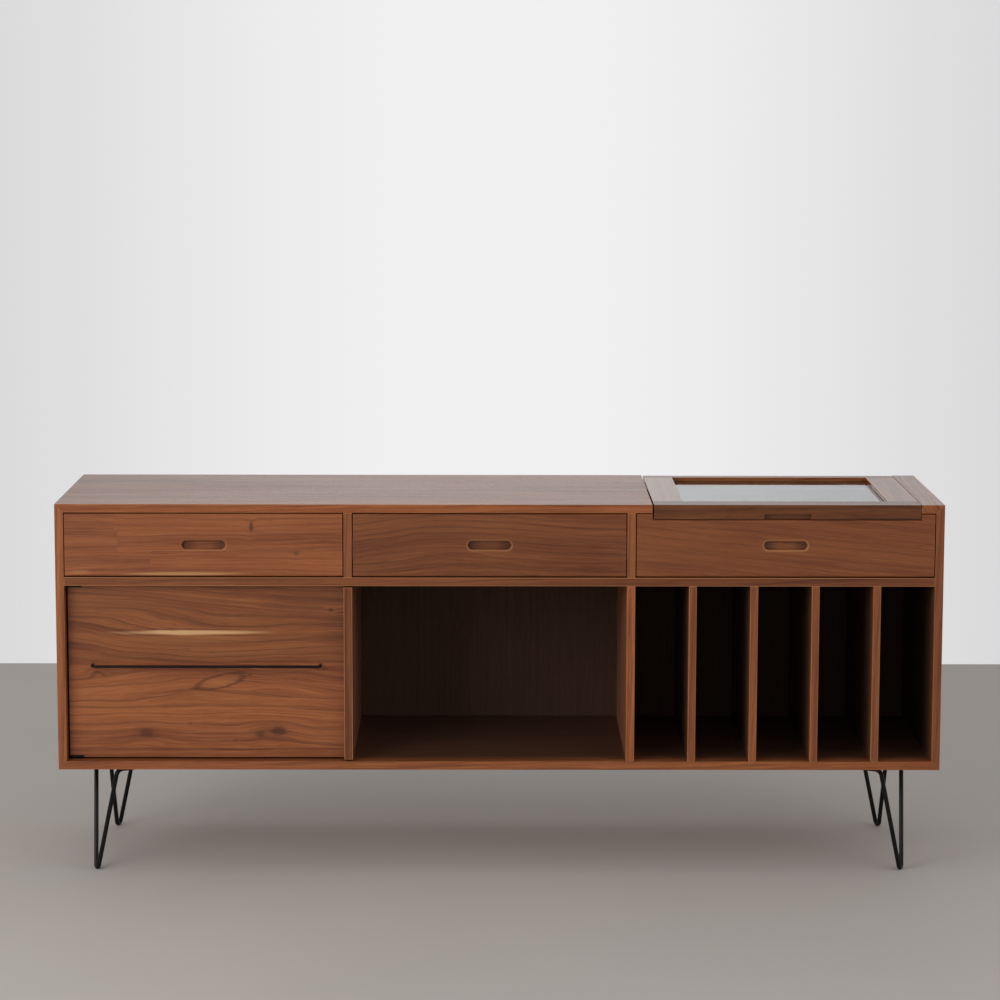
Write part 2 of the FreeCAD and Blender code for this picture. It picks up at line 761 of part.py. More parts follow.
def make_handle():
    """Build the door's bar handle, a rod bent back to the door, and the screws that hold it."""
    feet = [value(rule) for rule in handle_feet().values()]
    face = value("door_face")
    reach = value("handle_y")
    height = value("handle_z")
    points = [
        Vector(feet[0], face, height),
        Vector(feet[0], reach, height),
        Vector(feet[1], reach, height),
        Vector(feet[1], face, height),
    ]
    rod = doc.addObject("Part::Feature", "handle_rod_bent")
    rod.Shape = bent_rod(points, [value("handle_bend")] * 2, value("handle_rod / 2"))
    taps = []
    screws = []
    for side, x in handle_feet().items():
        taps.append(bar(f"handle_tap_{side}", "handle_screw_radius + screw_clearance",
                        "handle_screw_grip + screw_clearance + overrun", "y",
                        x, "door_face - handle_screw_grip - screw_clearance", "handle_z"))
        shank = bar(f"handle_shank_{side}", "handle_screw_radius",
                    "door_thickness + handle_screw_grip", "y",
                    x, "door_face - handle_screw_grip", "handle_z")
        head = bar(f"handle_head_{side}", "screw_head_radius", "screw_head_height", "y",
                   x, "door_back", "handle_z")
        screws.append(fuse(f"handle_screw_{side}", shank, head))
    piece(cut("door_handle_bar", rod, *taps))
    piece(group("door_handle_screws", *screws))


def settle_vertex(outer, inner, bend, foot):
    """Return where the legs' two straight runs would meet, so that the bend's low point is the foot."""
    down = Vector(0, 0, -1)
    vertex = Vector(foot)
    for step in range(60):
        to_outer = (outer - vertex).normalize()
        to_inner = (inner - vertex).normalize()
        half = to_outer.getAngle(to_inner) / 2
        centre = vertex + (to_outer + to_inner).normalize() * (bend / math.sin(half))
        square = to_outer.cross(to_inner).normalize()
        fall = (down - square * down.dot(square)).normalize()
        vertex = vertex + foot - (centre + fall * bend)
    return vertex


def make_legs(bottom):
    """Build the four hairpin legs, their plates and screws, and bore the case floor for the screws."""
    rod = value("leg_rod")
    run_height = value("plate_under") - rod / 2
    plates = []
    screws = []
    bores = []
    corners = (("front_left", 1, 1), ("front_right", -1, 1), ("rear_left", 1, -1), ("rear_right", -1, -1))
    for corner, inward_x, inward_y in corners:
        foot = Vector(
            -inward_x * value("outer_right - foot_inset_side"),
            -inward_y * value("back - foot_inset_front"),
            rod / 2,
        )
        outer = Vector(
            foot.x - inward_x * value("outer_rod_splay"),
            foot.y + inward_y * value("outer_rod_run"),
            run_height,
        )
        inner = Vector(
            foot.x + inward_x * value("inner_rod_run"),
            foot.y - inward_y * value("inner_rod_splay"),
            run_height,
        )
        along = (inner - outer).normalize()
        across = Vector(abs(along.y) * inward_x, abs(along.x) * inward_y, 0)
        shoulder = across * value("shoulder_length")
        vertex = settle_vertex(outer, inner, value("foot_bend"), foot)
        leg = doc.addObject("Part::Feature", f"hairpin_leg_{corner}")
        leg.Shape = bent_rod(
            [outer + shoulder, outer, vertex, inner, inner + shoulder],
            [value("shoulder_bend"), value("foot_bend"), value("shoulder_bend")],
            rod / 2,
        )
        piece(leg)

        plate_length = value("leg_plate_length")
        plate_width = value("leg_plate_width")
        plate_corner = outer - (along + across) * value("leg_plate_margin")
        plate_corner.z = value("plate_under")
        turn = FreeCAD.Rotation(Vector(0, 0, 1), math.degrees(math.atan2(along.y, along.x)))
        plate_middle = plate_corner + along * (plate_length / 2) + across * (plate_width / 2)
        plate = doc.addObject("Part::Box", f"leg_plate_{corner}_blank")
        bind(plate, Length="leg_plate_length", Width="leg_plate_width", Height="leg_plate_thickness")
        half_plate = turn.multVec(Vector(plate_length / 2, plate_width / 2, 0))
        plate.Placement = FreeCAD.Placement(plate_middle - half_plate, turn)
        holes = []
        for along_share in SCREW_ALONG_SHARES:
            for across_share in SCREW_ACROSS_SHARES:
                along_plate = along * (plate_length * along_share)
                across_plate = across * (plate_width * across_share)
                spot = plate_corner + along_plate + across_plate
                hole, bore, screw = make_leg_screw(f"leg_screw_{corner}_{len(holes) + 1}", spot)
                holes.append(hole)
                bores.append(bore)
                screws.append(screw)
        plates.append(cut(f"leg_plate_{corner}", plate, *holes))
    piece(group("leg_plates", *plates))
    piece(group("leg_screws", *screws))
    piece(cut("bottom_panel", bottom, *bores))


def make_leg_screw(name, spot):
    """Return the plate hole, the bore in the case floor and the screw at a point under a leg plate."""
    overrun = Vector(0, 0, value("overrun"))
    head_height = Vector(0, 0, value("screw_head_height"))
    radius = "screw_radius + screw_clearance"
    hole = standing_bar(f"{name}_hole", radius, "leg_plate_thickness + 2 * overrun", spot - overrun)
    bore_length = "leg_plate_thickness + screw_grip + screw_clearance"
    bore = standing_bar(f"{name}_bore", radius, bore_length, spot)
    shank = standing_bar(f"{name}_shank", "screw_radius", "leg_plate_thickness + screw_grip", spot)
    head = standing_bar(f"{name}_head", "screw_head_radius", "screw_head_height", spot - head_height)
    return hole, bore, fuse(name, shank, head)


def export_pieces():
    """Check every object and write one file for each sub-part."""
    doc.recompute()
    for item in doc.Objects:
        if "Invalid" in item.State or "Error" in item.State:
            raise RuntimeError(f"{item.Name} failed: {item.State}")
    for item in pieces:
        if item.Shape.isNull() or not item.Shape.isValid():
            raise RuntimeError(f"{item.Label} has no valid shape")
    os.makedirs("parts", exist_ok=True)
    for item in pieces:
        item.Shape.exportStep(os.path.join("parts", f"{item.Label}.step"))
    print(f"{len(pieces)} sub-parts written")


case_floor = make_case()
make_lid_seat()
make_drawer("drawer_left", "inner_left", "left_divider", False)
make_drawer("drawer_middle", "middle_bay", "right_divider", False)
make_drawer("drawer_right", "right_bay", "inner_right", True)
make_door()
make_lid()
make_legs(case_floor)
export_pieces()
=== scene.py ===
"""Dresses the record cabinet: oiled timber case, door, three drawers, glazed lid and hairpin legs."""
import json
import logging
import math
from collections.abc import Callable
from dataclasses import dataclass, replace
from enum import Enum
from functools import cache, partial

import bmesh
import bpy
from mathutils import Matrix, Vector

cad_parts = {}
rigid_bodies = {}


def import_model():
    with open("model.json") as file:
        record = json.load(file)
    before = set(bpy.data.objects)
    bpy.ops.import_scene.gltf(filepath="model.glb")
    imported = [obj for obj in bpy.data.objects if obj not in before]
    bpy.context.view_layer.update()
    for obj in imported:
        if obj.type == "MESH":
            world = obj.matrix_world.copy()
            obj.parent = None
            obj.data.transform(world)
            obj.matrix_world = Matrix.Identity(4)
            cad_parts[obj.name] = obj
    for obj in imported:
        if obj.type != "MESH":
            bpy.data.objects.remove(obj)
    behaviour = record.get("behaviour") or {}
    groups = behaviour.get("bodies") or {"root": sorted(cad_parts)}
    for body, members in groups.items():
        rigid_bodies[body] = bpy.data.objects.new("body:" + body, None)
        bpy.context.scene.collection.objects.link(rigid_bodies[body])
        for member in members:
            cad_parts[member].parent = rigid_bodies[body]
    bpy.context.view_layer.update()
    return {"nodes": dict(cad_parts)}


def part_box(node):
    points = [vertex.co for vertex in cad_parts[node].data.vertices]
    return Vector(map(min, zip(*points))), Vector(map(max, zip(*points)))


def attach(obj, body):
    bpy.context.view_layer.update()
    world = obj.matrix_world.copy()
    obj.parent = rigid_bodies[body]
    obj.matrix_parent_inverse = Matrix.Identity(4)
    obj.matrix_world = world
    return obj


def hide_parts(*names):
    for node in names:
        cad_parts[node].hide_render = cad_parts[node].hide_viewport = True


for leftover in list(bpy.data.objects):
    bpy.data.objects.remove(leftover)

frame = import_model()

log = logging.getLogger("record_cabinet")

Material = bpy.types.Material
Node = bpy.types.Node
Socket = bpy.types.NodeSocket
Tree = bpy.types.NodeTree
# What a node's input is linked to: an output socket, or a node for its first output.
Source = Node | Socket
# What adds a node to one tree.
Adder = Callable[..., Node]
# Where a value starts and stops counting, and what it gives at each of the two.
Span = tuple[float, float, float, float]
Pair = tuple[float, float]
Triple = tuple[float, float, float]
# How far a colour is covered, and the sRGB hex value of what covers it.
Tint = tuple[Source, str]

MM = 0.001
# Further than any board reaches, so that a stave of this size takes in a whole board.
FAR_MM = 10000.0
# Blender's names for the kinds of node that are used most.
COORDINATES = "ShaderNodeTexCoord"
NOISE = "ShaderNodeTexNoise"
MATH = "ShaderNodeMath"
VECTOR_MATH = "ShaderNodeVectorMath"
MAP_RANGE = "ShaderNodeMapRange"
MIX = "ShaderNodeMix"
SEPARATE = "ShaderNodeSeparateXYZ"
COMBINE = "ShaderNodeCombineXYZ"
PRINCIPLED = "ShaderNodeBsdfPrincipled"
OUTPUT = "ShaderNodeOutputMaterial"
# The Mix node's sockets for colours, which share their names with those for plain numbers.
MIX_A = 6
MIX_B = 7
MIXED = 2
# Most of a noise lies between these values.
NOISE_RANGE = (0.3, 0.7)
WHITE = "#FFFFFF"

# Tints of the marks in single boards, from the darkest to the palest.
KNOT = "#40200F"
DARK_BAND = "#4E2713"
KNOT_HALO = "#6A3A20"
LOOP_HEART = "#A7703F"
WARM_BAND = "#B0713F"
SAPWOOD_END = "#B0764A"
SAPWOOD = "#C08D5C"
PALE_SAPWOOD = "#D8A878"


def linear(code: str) -> tuple[float, ...]:
    """Turns an sRGB hex value into linear red, green and blue with full alpha."""
    channels = [int(code[place:place + 2], 16) / 255 for place in (1, 3, 5)]
    return (*[c / 12.92 if c <= 0.04045 else ((c + 0.055) / 1.055) ** 2.4 for c in channels], 1.0)


def add_node(tree: Tree, kind: str, inputs: dict | tuple = (), **settings: object) -> Node:
    """Adds one node with its settings, its values and its links.

    Args:
        tree: The material's or the world's node tree.
        kind: Blender's name for the node.
        inputs: A value or a source for each input, by name or number, or else in order. A Map Range node
            takes the value, where it starts and stops counting, and what it gives there.
        settings: The node's own properties.

    Returns:
        The new node.
    """
    node = tree.nodes.new(kind)
    for name, setting in settings.items():
        setattr(node, name, setting)
    for key, value in inputs.items() if isinstance(inputs, dict) else enumerate(inputs):
        if isinstance(value, Node):
            value = value.outputs[0]
        if isinstance(value, Socket):
            tree.links.new(value, node.inputs[key])
        else:
            node.inputs[key].default_value = value
    return node


def start_material(name: str) -> tuple[Material, Adder]:
    """Makes an empty node material.

    Args:
        name: The material's name.

    Returns:
        The material, and what adds nodes to it.
    """
    material = bpy.data.materials.new(name)
    material.use_nodes = True
    material.node_tree.nodes.clear()
    return material, partial(add_node, material.node_tree)


class Grain(Enum):
    """The frame's axes that run along the grain, across the face and into the board."""

    FRONT_ACROSS = ("X", "Z", "Y")
    FLAT_ACROSS = ("X", "Y", "Z")
    FLAT_DEEP = ("Y", "X", "Z")
    SIDE_DEEP = ("Y", "Z", "X")
    SIDE_UPRIGHT = ("Z", "Y", "X")
    FRONT_UPRIGHT = ("Z", "X", "Y")


@dataclass(frozen=True)
class Mark:
    """A knot, a sapwood sliver or another figure of one board, measured from the board's middle."""

    along_mm: float
    across_mm: float
    half_length_mm: float
    half_width_mm: float
    tint: str = KNOT
    # A mark of no strength only bends the growth lines round it.
    strength: float = 0.0
    swirl_mm: float = 0.0
    turn_deg: float = 0.0
    outlined: bool = False


@dataclass(frozen=True)
class PaintedBayShade:
    """Painted shade inside the lower bays: a dark tint laid over their faces, feathered out towards their
    front edges, where the light reaches in.
    """

    colour: str
    cover: float
    feather_mm: float


# Distances from a mark's middle, whose own edge is 1: the most that the streaks add, and where it fades.
MARK_RAGGED = 0.8
MARK_FADE = (0.75, 1.4)
# An outlined mark is a thin line at this distance instead, which fades on both sides.
OUTLINE_AT = 1.3
OUTLINE_FADE = (0.02, 0.26)
# How far out a mark bends the growth lines.
SWIRL_REACH = 4.0
# How far one unit of a board's seed moves it through each noise, so that no two boards look alike.
FLOW_STEPS = (7.1, 3.3, 0.0)
WIDE_STEPS = (5.3, 8.7, 2.9)
STAVE_STEPS = (3.7, 1.9, 1.0)


@dataclass(frozen=True)
class Board:
    """One timber piece of the CAD model, with how its log was sawn and what its face shows."""

    node: str
    grain: Grain
    seed: float
    tone: float = 1.0
    # Where the board's middle lies from the log's pith, across the face and into the board.
    pith_mm: Pair = (210.0, 45.0)
    tilt_deg: float = 1.5
    turn_deg: float = 0.0
    bend_mm: float = 5.0
    ring_scale: float = 1.0
    contrast: float = 1.0
    # How strong the painted highlight on the lip of a finger pull is, from 0 to 1.
    painted_lip_highlight: float = 0.0
    # The glued staves' length and width. An end joint lies this far left of the board's middle, and in
    # each row up to the stagger further left.
    stave_mm: Pair = (FAR_MM, FAR_MM)
    joint_mm: float = FAR_MM / 2
    stagger_mm: float = 0.0
    marks: tuple[Mark, ...] = ()
    # Painted shade, laid as a dark tint over the board's faces inside the lower bays.
    stain: PaintedBayShade | None = None
    gloss: float = 1.0
    eased_mm: float = 1.1

    def offset(self, steps: Triple) -> list[float]:
        """Gives the board's own place in a noise, its seed times each step."""
        return [self.seed * step for step in steps]


@dataclass(frozen=True)
class Layer:
    """One size of streak in the timber: its length along the grain, its width and how rough it is."""

    length_mm: float
    width_mm: float
    detail: float
    roughness: float = 0.6


@dataclass(frozen=True)
class Timber:
    """Planed timber or veneer: dark contour lines, fine streaks along the grain and a low sheen."""

    name: str
    light: str
    dark: str
    line: str
    # The pale colour of the eased arrises, partly wear and partly painted highlight; it also tints the
    # painted sheen flecks and the painted highlight on the pulls' lips.
    arris: str
    warm: str
    spread: float = 0.09
    ring_mm: float = 13.0
    line_strength: float = 0.5
    ior: float = 1.42
    roughness: Pair = (0.36, 0.46)
    ring: Layer = Layer(1100.0, 16.0, 2.6)
    streak: Layer = Layer(420.0, 5.0, 2.2)
    # Real fibres and pores are about 0.2 mm wide; these are drawn wider, or the picture would lose them.
    fibre: Layer = Layer(80.0, 1.8, 2.0)
    pore: Layer = Layer(26.0, 1.3, 0.0)
    patch: Layer = Layer(360.0, 90.0, 1.5, roughness=0.5)
    drift: Layer = Layer(330.0, 75.0, 2.0, roughness=0.5)
    # What each layer adds to the tone, which is fully dark or light this far from its middle.
    tone_shares: tuple[tuple[str, float], ...] = (
        ("ring", 0.42), ("streak", 0.27), ("fibre", 0.13), ("patch", 0.18),
    )
    tone_reach: float = 0.13
    # From which noise the warm patches, the pores and the painted sheen flecks show, and how strongly.
    warm_patches: Span = (0.45, 0.65, 0.0, 0.5)
    pores: Span = (0.6, 0.74, 0.0, 0.2)
    painted_sheen_flecks: Span = (0.5, 0.7, 0.0, 0.16)
    # The dark part of each year's growth, the noise at which its line is faint and full, the faint line's
    # strength, and how many years the bands move the line.
    late_part: Span = (0.6, 0.97, 0.0, 1.0)
    late_patches: Pair = (0.38, 0.62)
    faint_line: float = 0.1
    year_drift: float = 1.6
    # How far the logs of a board's staves, and of different boards, lie apart.
    log_spread_mm: Triple = (90.0, 60.0, 40.0)
    log_step_mm: float = 43.0
    # The drift swings by about a quarter either way, so this makes the grain stray by about the bend.
    bend_gain: float = 4.0
    fibre_height: float = 0.6
    relief_strength: float = 0.3
    relief_mm: float = 0.25
    arris_streaks: Span = (0.35, 0.65, 0.0, 1.0)
    arris_roughness: float = 0.4

    def material(self, board: Board) -> Material:
        """Makes the timber of one board, with its own figure.

        Args:
            board: The board that the material is for.

        Returns:
            The finished material.
        """
        material, add = start_material(f"{self.name}.{board.node}")
        figure = Figure(add, self, board)
        bump = add("ShaderNodeBump", {
            "Strength": self.relief_strength, "Distance": self.relief_mm * MM, "Height": figure.height(),
        })
        low, high = self.roughness
        sheen = add(MAP_RANGE, (
            figure.shown["streak"], *NOISE_RANGE, high * board.gloss, low * board.gloss,
        ))
        shader = add(PRINCIPLED, {
            "Base Color": figure.colour(), "Roughness": sheen, "Normal": bump, "IOR": self.ior,
        })
        add(OUTPUT, (shader,))
        return material

    @cache
    def arris_material(self, grain: Grain) -> Material:
        """Makes the paler wood of the eased arrises: partly wear where a sanded arris has lost some of its
        oil, partly a painted highlight where the edge catches the light.

        Args:
            grain: The board's grain direction.

        Returns:
            The material, made once for each direction.
        """
        material, add = start_material(f"{self.name}.rubbed_arris.{grain.name.lower()}")
        along = grain.value[0]
        layer = self.streak
        sizes = [1 / ((layer.length_mm if axis == along else layer.width_mm) * MM) for axis in "XYZ"]
        place = add(COORDINATES).outputs["Object"]
        sized = add(VECTOR_MATH, (place, sizes), operation="MULTIPLY")
        streak = add(NOISE, {"Vector": sized, "Scale": 1.0, "Detail": 3.0})
        shade = add(MAP_RANGE, (streak, *self.arris_streaks))
        colour = add(MIX, {
            0: shade, MIX_A: linear(self.light), MIX_B: linear(self.arris),
        }, data_type="RGBA")
        shader = add(PRINCIPLED, {
            "Base Color": colour.outputs[MIXED], "Roughness": self.arris_roughness, "IOR": self.ior,
        })
        add(OUTPUT, (shader,))
        return material


@dataclass(frozen=True)
class FingerPull:
    """The routed pull of a drawer front: half its straight run, its end radius, its lip, and the painted
    highlight and shade on it.
    """

    half_straight_mm: float = 34.5
    radius_mm: float = 8.5
    lip_mm: float = 4.0
    # How far the painted highlight on the lip fades inside and outside its edge, and half the width of the
    # rim.
    lip_fade_mm: Pair = (2.0, 1.0)
    half_rim_mm: float = 0.5
    # How dark the painted shade, which partly stands for oil, makes the hollow's middle and its ends, and
    # from which share of its half length it deepens.
    middle_shade: float = 0.08
    end_shade: float = 0.55
    shade_from: float = 0.3


@dataclass(frozen=True)
class LowerBays:
    """The space inside the case below the drawers, in metres."""

    front: float
    half_width: float
    floor: float
    roof: float

    @classmethod
    def of_frame(cls) -> "LowerBays":
        """Reads the space from the boards round it, with half a millimetre to take in their faces.

        Returns:
            The space.
        """
        slack = 0.5 * MM
        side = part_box("side_right")[0]
        return cls(
            front=side.y,
            half_width=side.x + slack,
            floor=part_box("bottom_panel")[1].z - slack,
            roof=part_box("mid_shelf")[0].z + slack,
        )


@dataclass
class Figure:
    """The growth lines, streaks and marks of one board and the painted sheen, highlight and shade on it,
    added to its material's node tree.
    """

    add: Adder
    timber: Timber
    board: Board

    def __post_init__(self) -> None:
        """Lays out the board's space, its staves, its growth rings and its layers of streaks."""
        self.laid = self.board_space()
        self.chance = self.stave_chance()
        self.radius = self.ring_radius()
        self.shown = self.layers()

    def board_space(self) -> Node:
        """Measures a place on the board in millimetres along, across and into it, from its middle.

        Returns:
            The place.
        """
        low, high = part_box(self.board.node)
        place = self.add(COORDINATES).outputs["Object"]
        measured = self.add(VECTOR_MATH, (
            place, (1 / MM, 1 / MM, 1 / MM), (low + high) * (-0.5 / MM),
        ), operation="MULTIPLY_ADD")
        axes = self.add(SEPARATE, (measured,)).outputs
        return self.add(COMBINE, tuple(axes[name] for name in self.board.grain.value))

    def stave_chance(self) -> Node:
        """Gives each glued stave of the board its own random colour and value.

        Returns:
            The random node.
        """
        board = self.board
        half = FAR_MM / 2
        centred = self.add(VECTOR_MATH, (self.laid, (half, half, half)), operation="ADD")
        row = self.add(VECTOR_MATH, (centred, (FAR_MM, board.stave_mm[1], FAR_MM)), operation="SNAP")
        step = self.add("ShaderNodeTexWhiteNoise", {"Vector": row}, noise_dimensions="3D")
        jointed = self.add(VECTOR_MATH, (centred, (board.joint_mm - half, 0.0, 0.0)), operation="ADD")
        moved = self.add(VECTOR_MATH, (
            step.outputs["Color"], (board.stagger_mm, 0.0, 0.0), jointed,
        ), operation="MULTIPLY_ADD")
        stave = self.add(VECTOR_MATH, (moved, (*board.stave_mm, FAR_MM)), operation="SNAP")
        seeded = self.add(VECTOR_MATH, (stave, board.offset(STAVE_STEPS)), operation="ADD")
        return self.add("ShaderNodeTexWhiteNoise", {"Vector": seeded}, noise_dimensions="3D")

    def noise(self, place: Source, layer: Layer, steps: Triple) -> Node:
        """Gives the noise of one layer, drawn out along the grain.

        Args:
            place: The place in millimetres, along the grain first.
            layer: The layer's sizes.
            steps: How far the board's seed moves it through the noise.

        Returns:
            The noise.
        """
        sizes = (1 / layer.length_mm, 1 / layer.width_mm, 1 / layer.width_mm)
        sized = self.add(VECTOR_MATH, (place, sizes, self.board.offset(steps)), operation="MULTIPLY_ADD")
        return self.add(NOISE, {
            "Vector": sized, "Scale": 1.0, "Detail": layer.detail, "Roughness": layer.roughness,
        })

    def ring_radius(self) -> Source:
        """Measures how far a place is from the log's pith, with the grain's drift and the knots' swirl.

        Returns:
            The radius in millimetres.
        """
        timber, board = self.timber, self.board
        drift = self.noise(self.laid, timber.drift, WIDE_STEPS).outputs["Color"]
        bend = board.bend_mm * timber.bend_gain
        bent = self.add(VECTOR_MATH, (drift, (0.0, bend, bend), self.laid), operation="MULTIPLY_ADD")
        grown = self.add(VECTOR_MATH, (
            self.chance.outputs["Color"], timber.log_spread_mm, bent,
        ), operation="MULTIPLY_ADD")
        sawn = self.add("ShaderNodeMapping", {
            "Vector": grown,
            "Location": (0.0, *board.pith_mm),
            "Rotation": (0.0, math.radians(board.tilt_deg), math.radians(board.turn_deg)),
        })
        level = self.add(VECTOR_MATH, (sawn, (0.0, 1.0, 1.0)), operation="MULTIPLY")
        radius = self.add(VECTOR_MATH, (level,), operation="LENGTH").outputs["Value"]
        for mark in board.marks:
            if not mark.swirl_mm:
                continue
            swirl = self.add(MAP_RANGE, (
                self.mark_distance(mark), 0.0, SWIRL_REACH, mark.swirl_mm, 0.0,
            ), interpolation_type="SMOOTHERSTEP")
            radius = self.add(MATH, (radius, swirl), operation="ADD")
        return radius

    def mark_distance(self, mark: Mark) -> Socket:
        """Measures how far a place is from a mark's middle, where the mark's own edge is 1.

        Args:
            mark: The mark.

        Returns:
            The distance.
        """
        scaled = self.add("ShaderNodeMapping", {
            "Vector": self.laid,
            "Location": (mark.along_mm, mark.across_mm, 0.0),
            "Rotation": (0.0, 0.0, math.radians(mark.turn_deg)),
            "Scale": (mark.half_length_mm, mark.half_width_mm, FAR_MM),
        }, vector_type="TEXTURE")
        return self.add(VECTOR_MATH, (scaled,), operation="LENGTH").outputs["Value"]

    def layers(self) -> dict[str, Source]:
        """Gives each layer's noise: streaks that follow the growth rings, and slow patches.

        Returns:
            The noises by the layers' names.
        """
        timber, board = self.timber, self.board
        along = self.add(SEPARATE, (self.laid,)).outputs["X"]
        flow = self.add(COMBINE, (along, self.radius, board.seed * timber.log_step_mm))
        ring = replace(timber.ring, width_mm=timber.ring.width_mm * board.ring_scale)
        streaks = {"ring": ring, "streak": timber.streak, "fibre": timber.fibre, "pore": timber.pore}
        shown = {name: self.noise(flow, layer, FLOW_STEPS) for name, layer in streaks.items()}
        shown["patch"] = self.noise(self.laid, timber.patch, WIDE_STEPS).outputs["Color"]
        return shown

    def tone(self) -> Node:
        """Adds the bands, streaks, fibres and patches to one tone from 0, dark, to 1, light.

        Returns:
            The tone.
        """
        total = 0.0
        for name, share in self.timber.tone_shares:
            total = self.add(MATH, (self.shown[name], share, total), operation="MULTIPLY_ADD")
        reach = self.timber.tone_reach / self.board.contrast
        return self.add(MAP_RANGE, (total, 0.5 - reach, 0.5 + reach, 0.0, 1.0))

    def late_wood(self) -> Node:
        """Draws the thin dark line at the end of each year's growth, stronger in some places.

        Returns:
            The line's strength.
        """
        timber, board = self.timber, self.board
        drift = self.add(MATH, (self.shown["ring"], timber.year_drift), operation="MULTIPLY")
        years = self.add(MATH, (
            self.radius, 1 / (timber.ring_mm * board.ring_scale), drift,
        ), operation="MULTIPLY_ADD")
        part = self.add(MATH, (years,), operation="FRACT")
        edge = self.add(MAP_RANGE, (part, *timber.late_part), interpolation_type="SMOOTHSTEP")
        force = self.add(MAP_RANGE, (
            self.shown["patch"], *timber.late_patches,
            timber.faint_line, timber.line_strength * board.contrast,
        ))
        return self.add(MATH, (edge, force), operation="MULTIPLY")

    def height(self) -> Node:
        """Gives the relief of the fibres, with the pores sunk into it.

        Returns:
            The height.
        """
        pores = self.add(MAP_RANGE, (self.shown["pore"], *self.timber.pores[:2], 0.0, -1.0))
        return self.add(MATH, (
            self.shown["fibre"], self.timber.fibre_height, pores,
        ), operation="MULTIPLY_ADD")

    def colour(self) -> Source:
        """Lays the timber's own tints, gives the stave its tone, and lays marks, the pull's painted
        highlight and shade and the painted bay shade over that.

        Returns:
            The colour.
        """
        timber, board = self.timber, self.board
        wood = self.lay(linear(timber.dark), self.wood_tints())
        share = self.add(MAP_RANGE, (
            self.chance.outputs["Value"],
            0.0, 1.0, board.tone * (1 - timber.spread), board.tone * (1 + timber.spread),
        ))
        toned = self.add(VECTOR_MATH, {0: wood, "Scale": share}, operation="SCALE")
        tints = [self.mark_tint(mark) for mark in board.marks if mark.strength]
        if board.painted_lip_highlight:
            tints += self.pull_tints()
        if board.stain:
            tints.append(self.stain_tint(board.stain))
        return self.lay(toned, tints)

    def lay(self, colour: Source | tuple, tints: list[Tint]) -> Source:
        """Lays tints over a colour in order, each as far as its cover says.

        Args:
            colour: The colour below them.
            tints: Each tint with its cover.

        Returns:
            The colour with the tints on it.
        """
        for cover, tint in tints:
            colour = self.add(MIX, {
                0: cover, MIX_A: colour, MIX_B: linear(tint),
            }, data_type="RGBA").outputs[MIXED]
        return colour

    def wood_tints(self) -> list[Tint]:
        """Finds where the tone, the warm patches, the late wood, the pores and the painted sheen flecks
        show.

        Returns:
            Their tints, over the timber's dark colour.
        """
        timber = self.timber
        hue = self.add("ShaderNodeSeparateColor", (self.shown["patch"],)).outputs["Green"]
        warmth, pores, painted_sheen_flecks = (
            self.add(MAP_RANGE, (noise, *span)) for noise, span in (
                (hue, timber.warm_patches),
                (self.shown["pore"], timber.pores),
                (self.shown["fibre"], timber.painted_sheen_flecks),
            )
        )
        return [
            (self.tone(), timber.light),
            (warmth, timber.warm),
            (self.late_wood(), timber.line),
            (pores, timber.line),
            (painted_sheen_flecks, timber.arris),
        ]

    def mark_tint(self, mark: Mark) -> Tint:
        """Finds where one knot or sliver of sapwood shows, with edges that the streaks break up.

        Args:
            mark: The mark.

        Returns:
            The mark's tint.
        """
        reach = self.add(MATH, (
            self.shown["streak"], MARK_RAGGED, self.mark_distance(mark),
        ), operation="MULTIPLY_ADD")
        fade = MARK_FADE
        if mark.outlined:
            past = self.add(MATH, (reach, OUTLINE_AT), operation="SUBTRACT")
            reach = self.add(MATH, (past,), operation="ABSOLUTE")
            fade = OUTLINE_FADE
        cover = self.add(MAP_RANGE, (reach, *fade, mark.strength, 0.0), interpolation_type="SMOOTHSTEP")
        return cover, mark.tint

    def pull_tints(self) -> list[Tint]:
        """Finds the painted highlight on the lip of the finger pull at the board's middle, and the painted
        shade in its hollow, which partly stands for oil.

        Returns:
            The tints of the painted highlight on the lip and of the painted shade in the hollow.
        """
        pull = FingerPull()
        axes = self.add(SEPARATE, (self.laid,)).outputs
        beside = self.add(MATH, (axes["X"],), operation="ABSOLUTE")
        past = self.add(MATH, (beside, pull.half_straight_mm), operation="SUBTRACT")
        over = self.add(MATH, (past, 0.0), operation="MAXIMUM")
        away = self.add(COMBINE, (over, axes["Y"]))
        reach = self.add(VECTOR_MATH, (away,), operation="LENGTH").outputs["Value"]
        edge = pull.radius_mm + pull.lip_mm
        inside, outside = pull.lip_fade_mm
        # Painted highlight on the pull's lip, fading out past its edge and cut off at the hollow's rim.
        outer = self.add(MAP_RANGE, (reach, edge - inside, edge + outside, self.board.painted_lip_highlight, 0.0))
        inner = self.add(MAP_RANGE, (
            reach, pull.radius_mm - pull.half_rim_mm, pull.radius_mm + pull.half_rim_mm, 0.0, 1.0,
        ))
        wear_and_painted_highlight = self.add(MATH, (outer, inner), operation="MULTIPLY")
        straight = (pull.shade_from * pull.half_straight_mm, pull.half_straight_mm)
        # Painted shade in the hollow, deeper towards its ends, partly standing for oil.
        shade = self.add(MAP_RANGE, (
            beside, *straight, pull.middle_shade, pull.end_shade,
        ), interpolation_type="SMOOTHSTEP")
        hollow = self.add(MAP_RANGE, (inner, 0.0, 1.0, shade, 0.0))
        return [(wear_and_painted_highlight, self.timber.arris), (hollow, self.timber.line)]

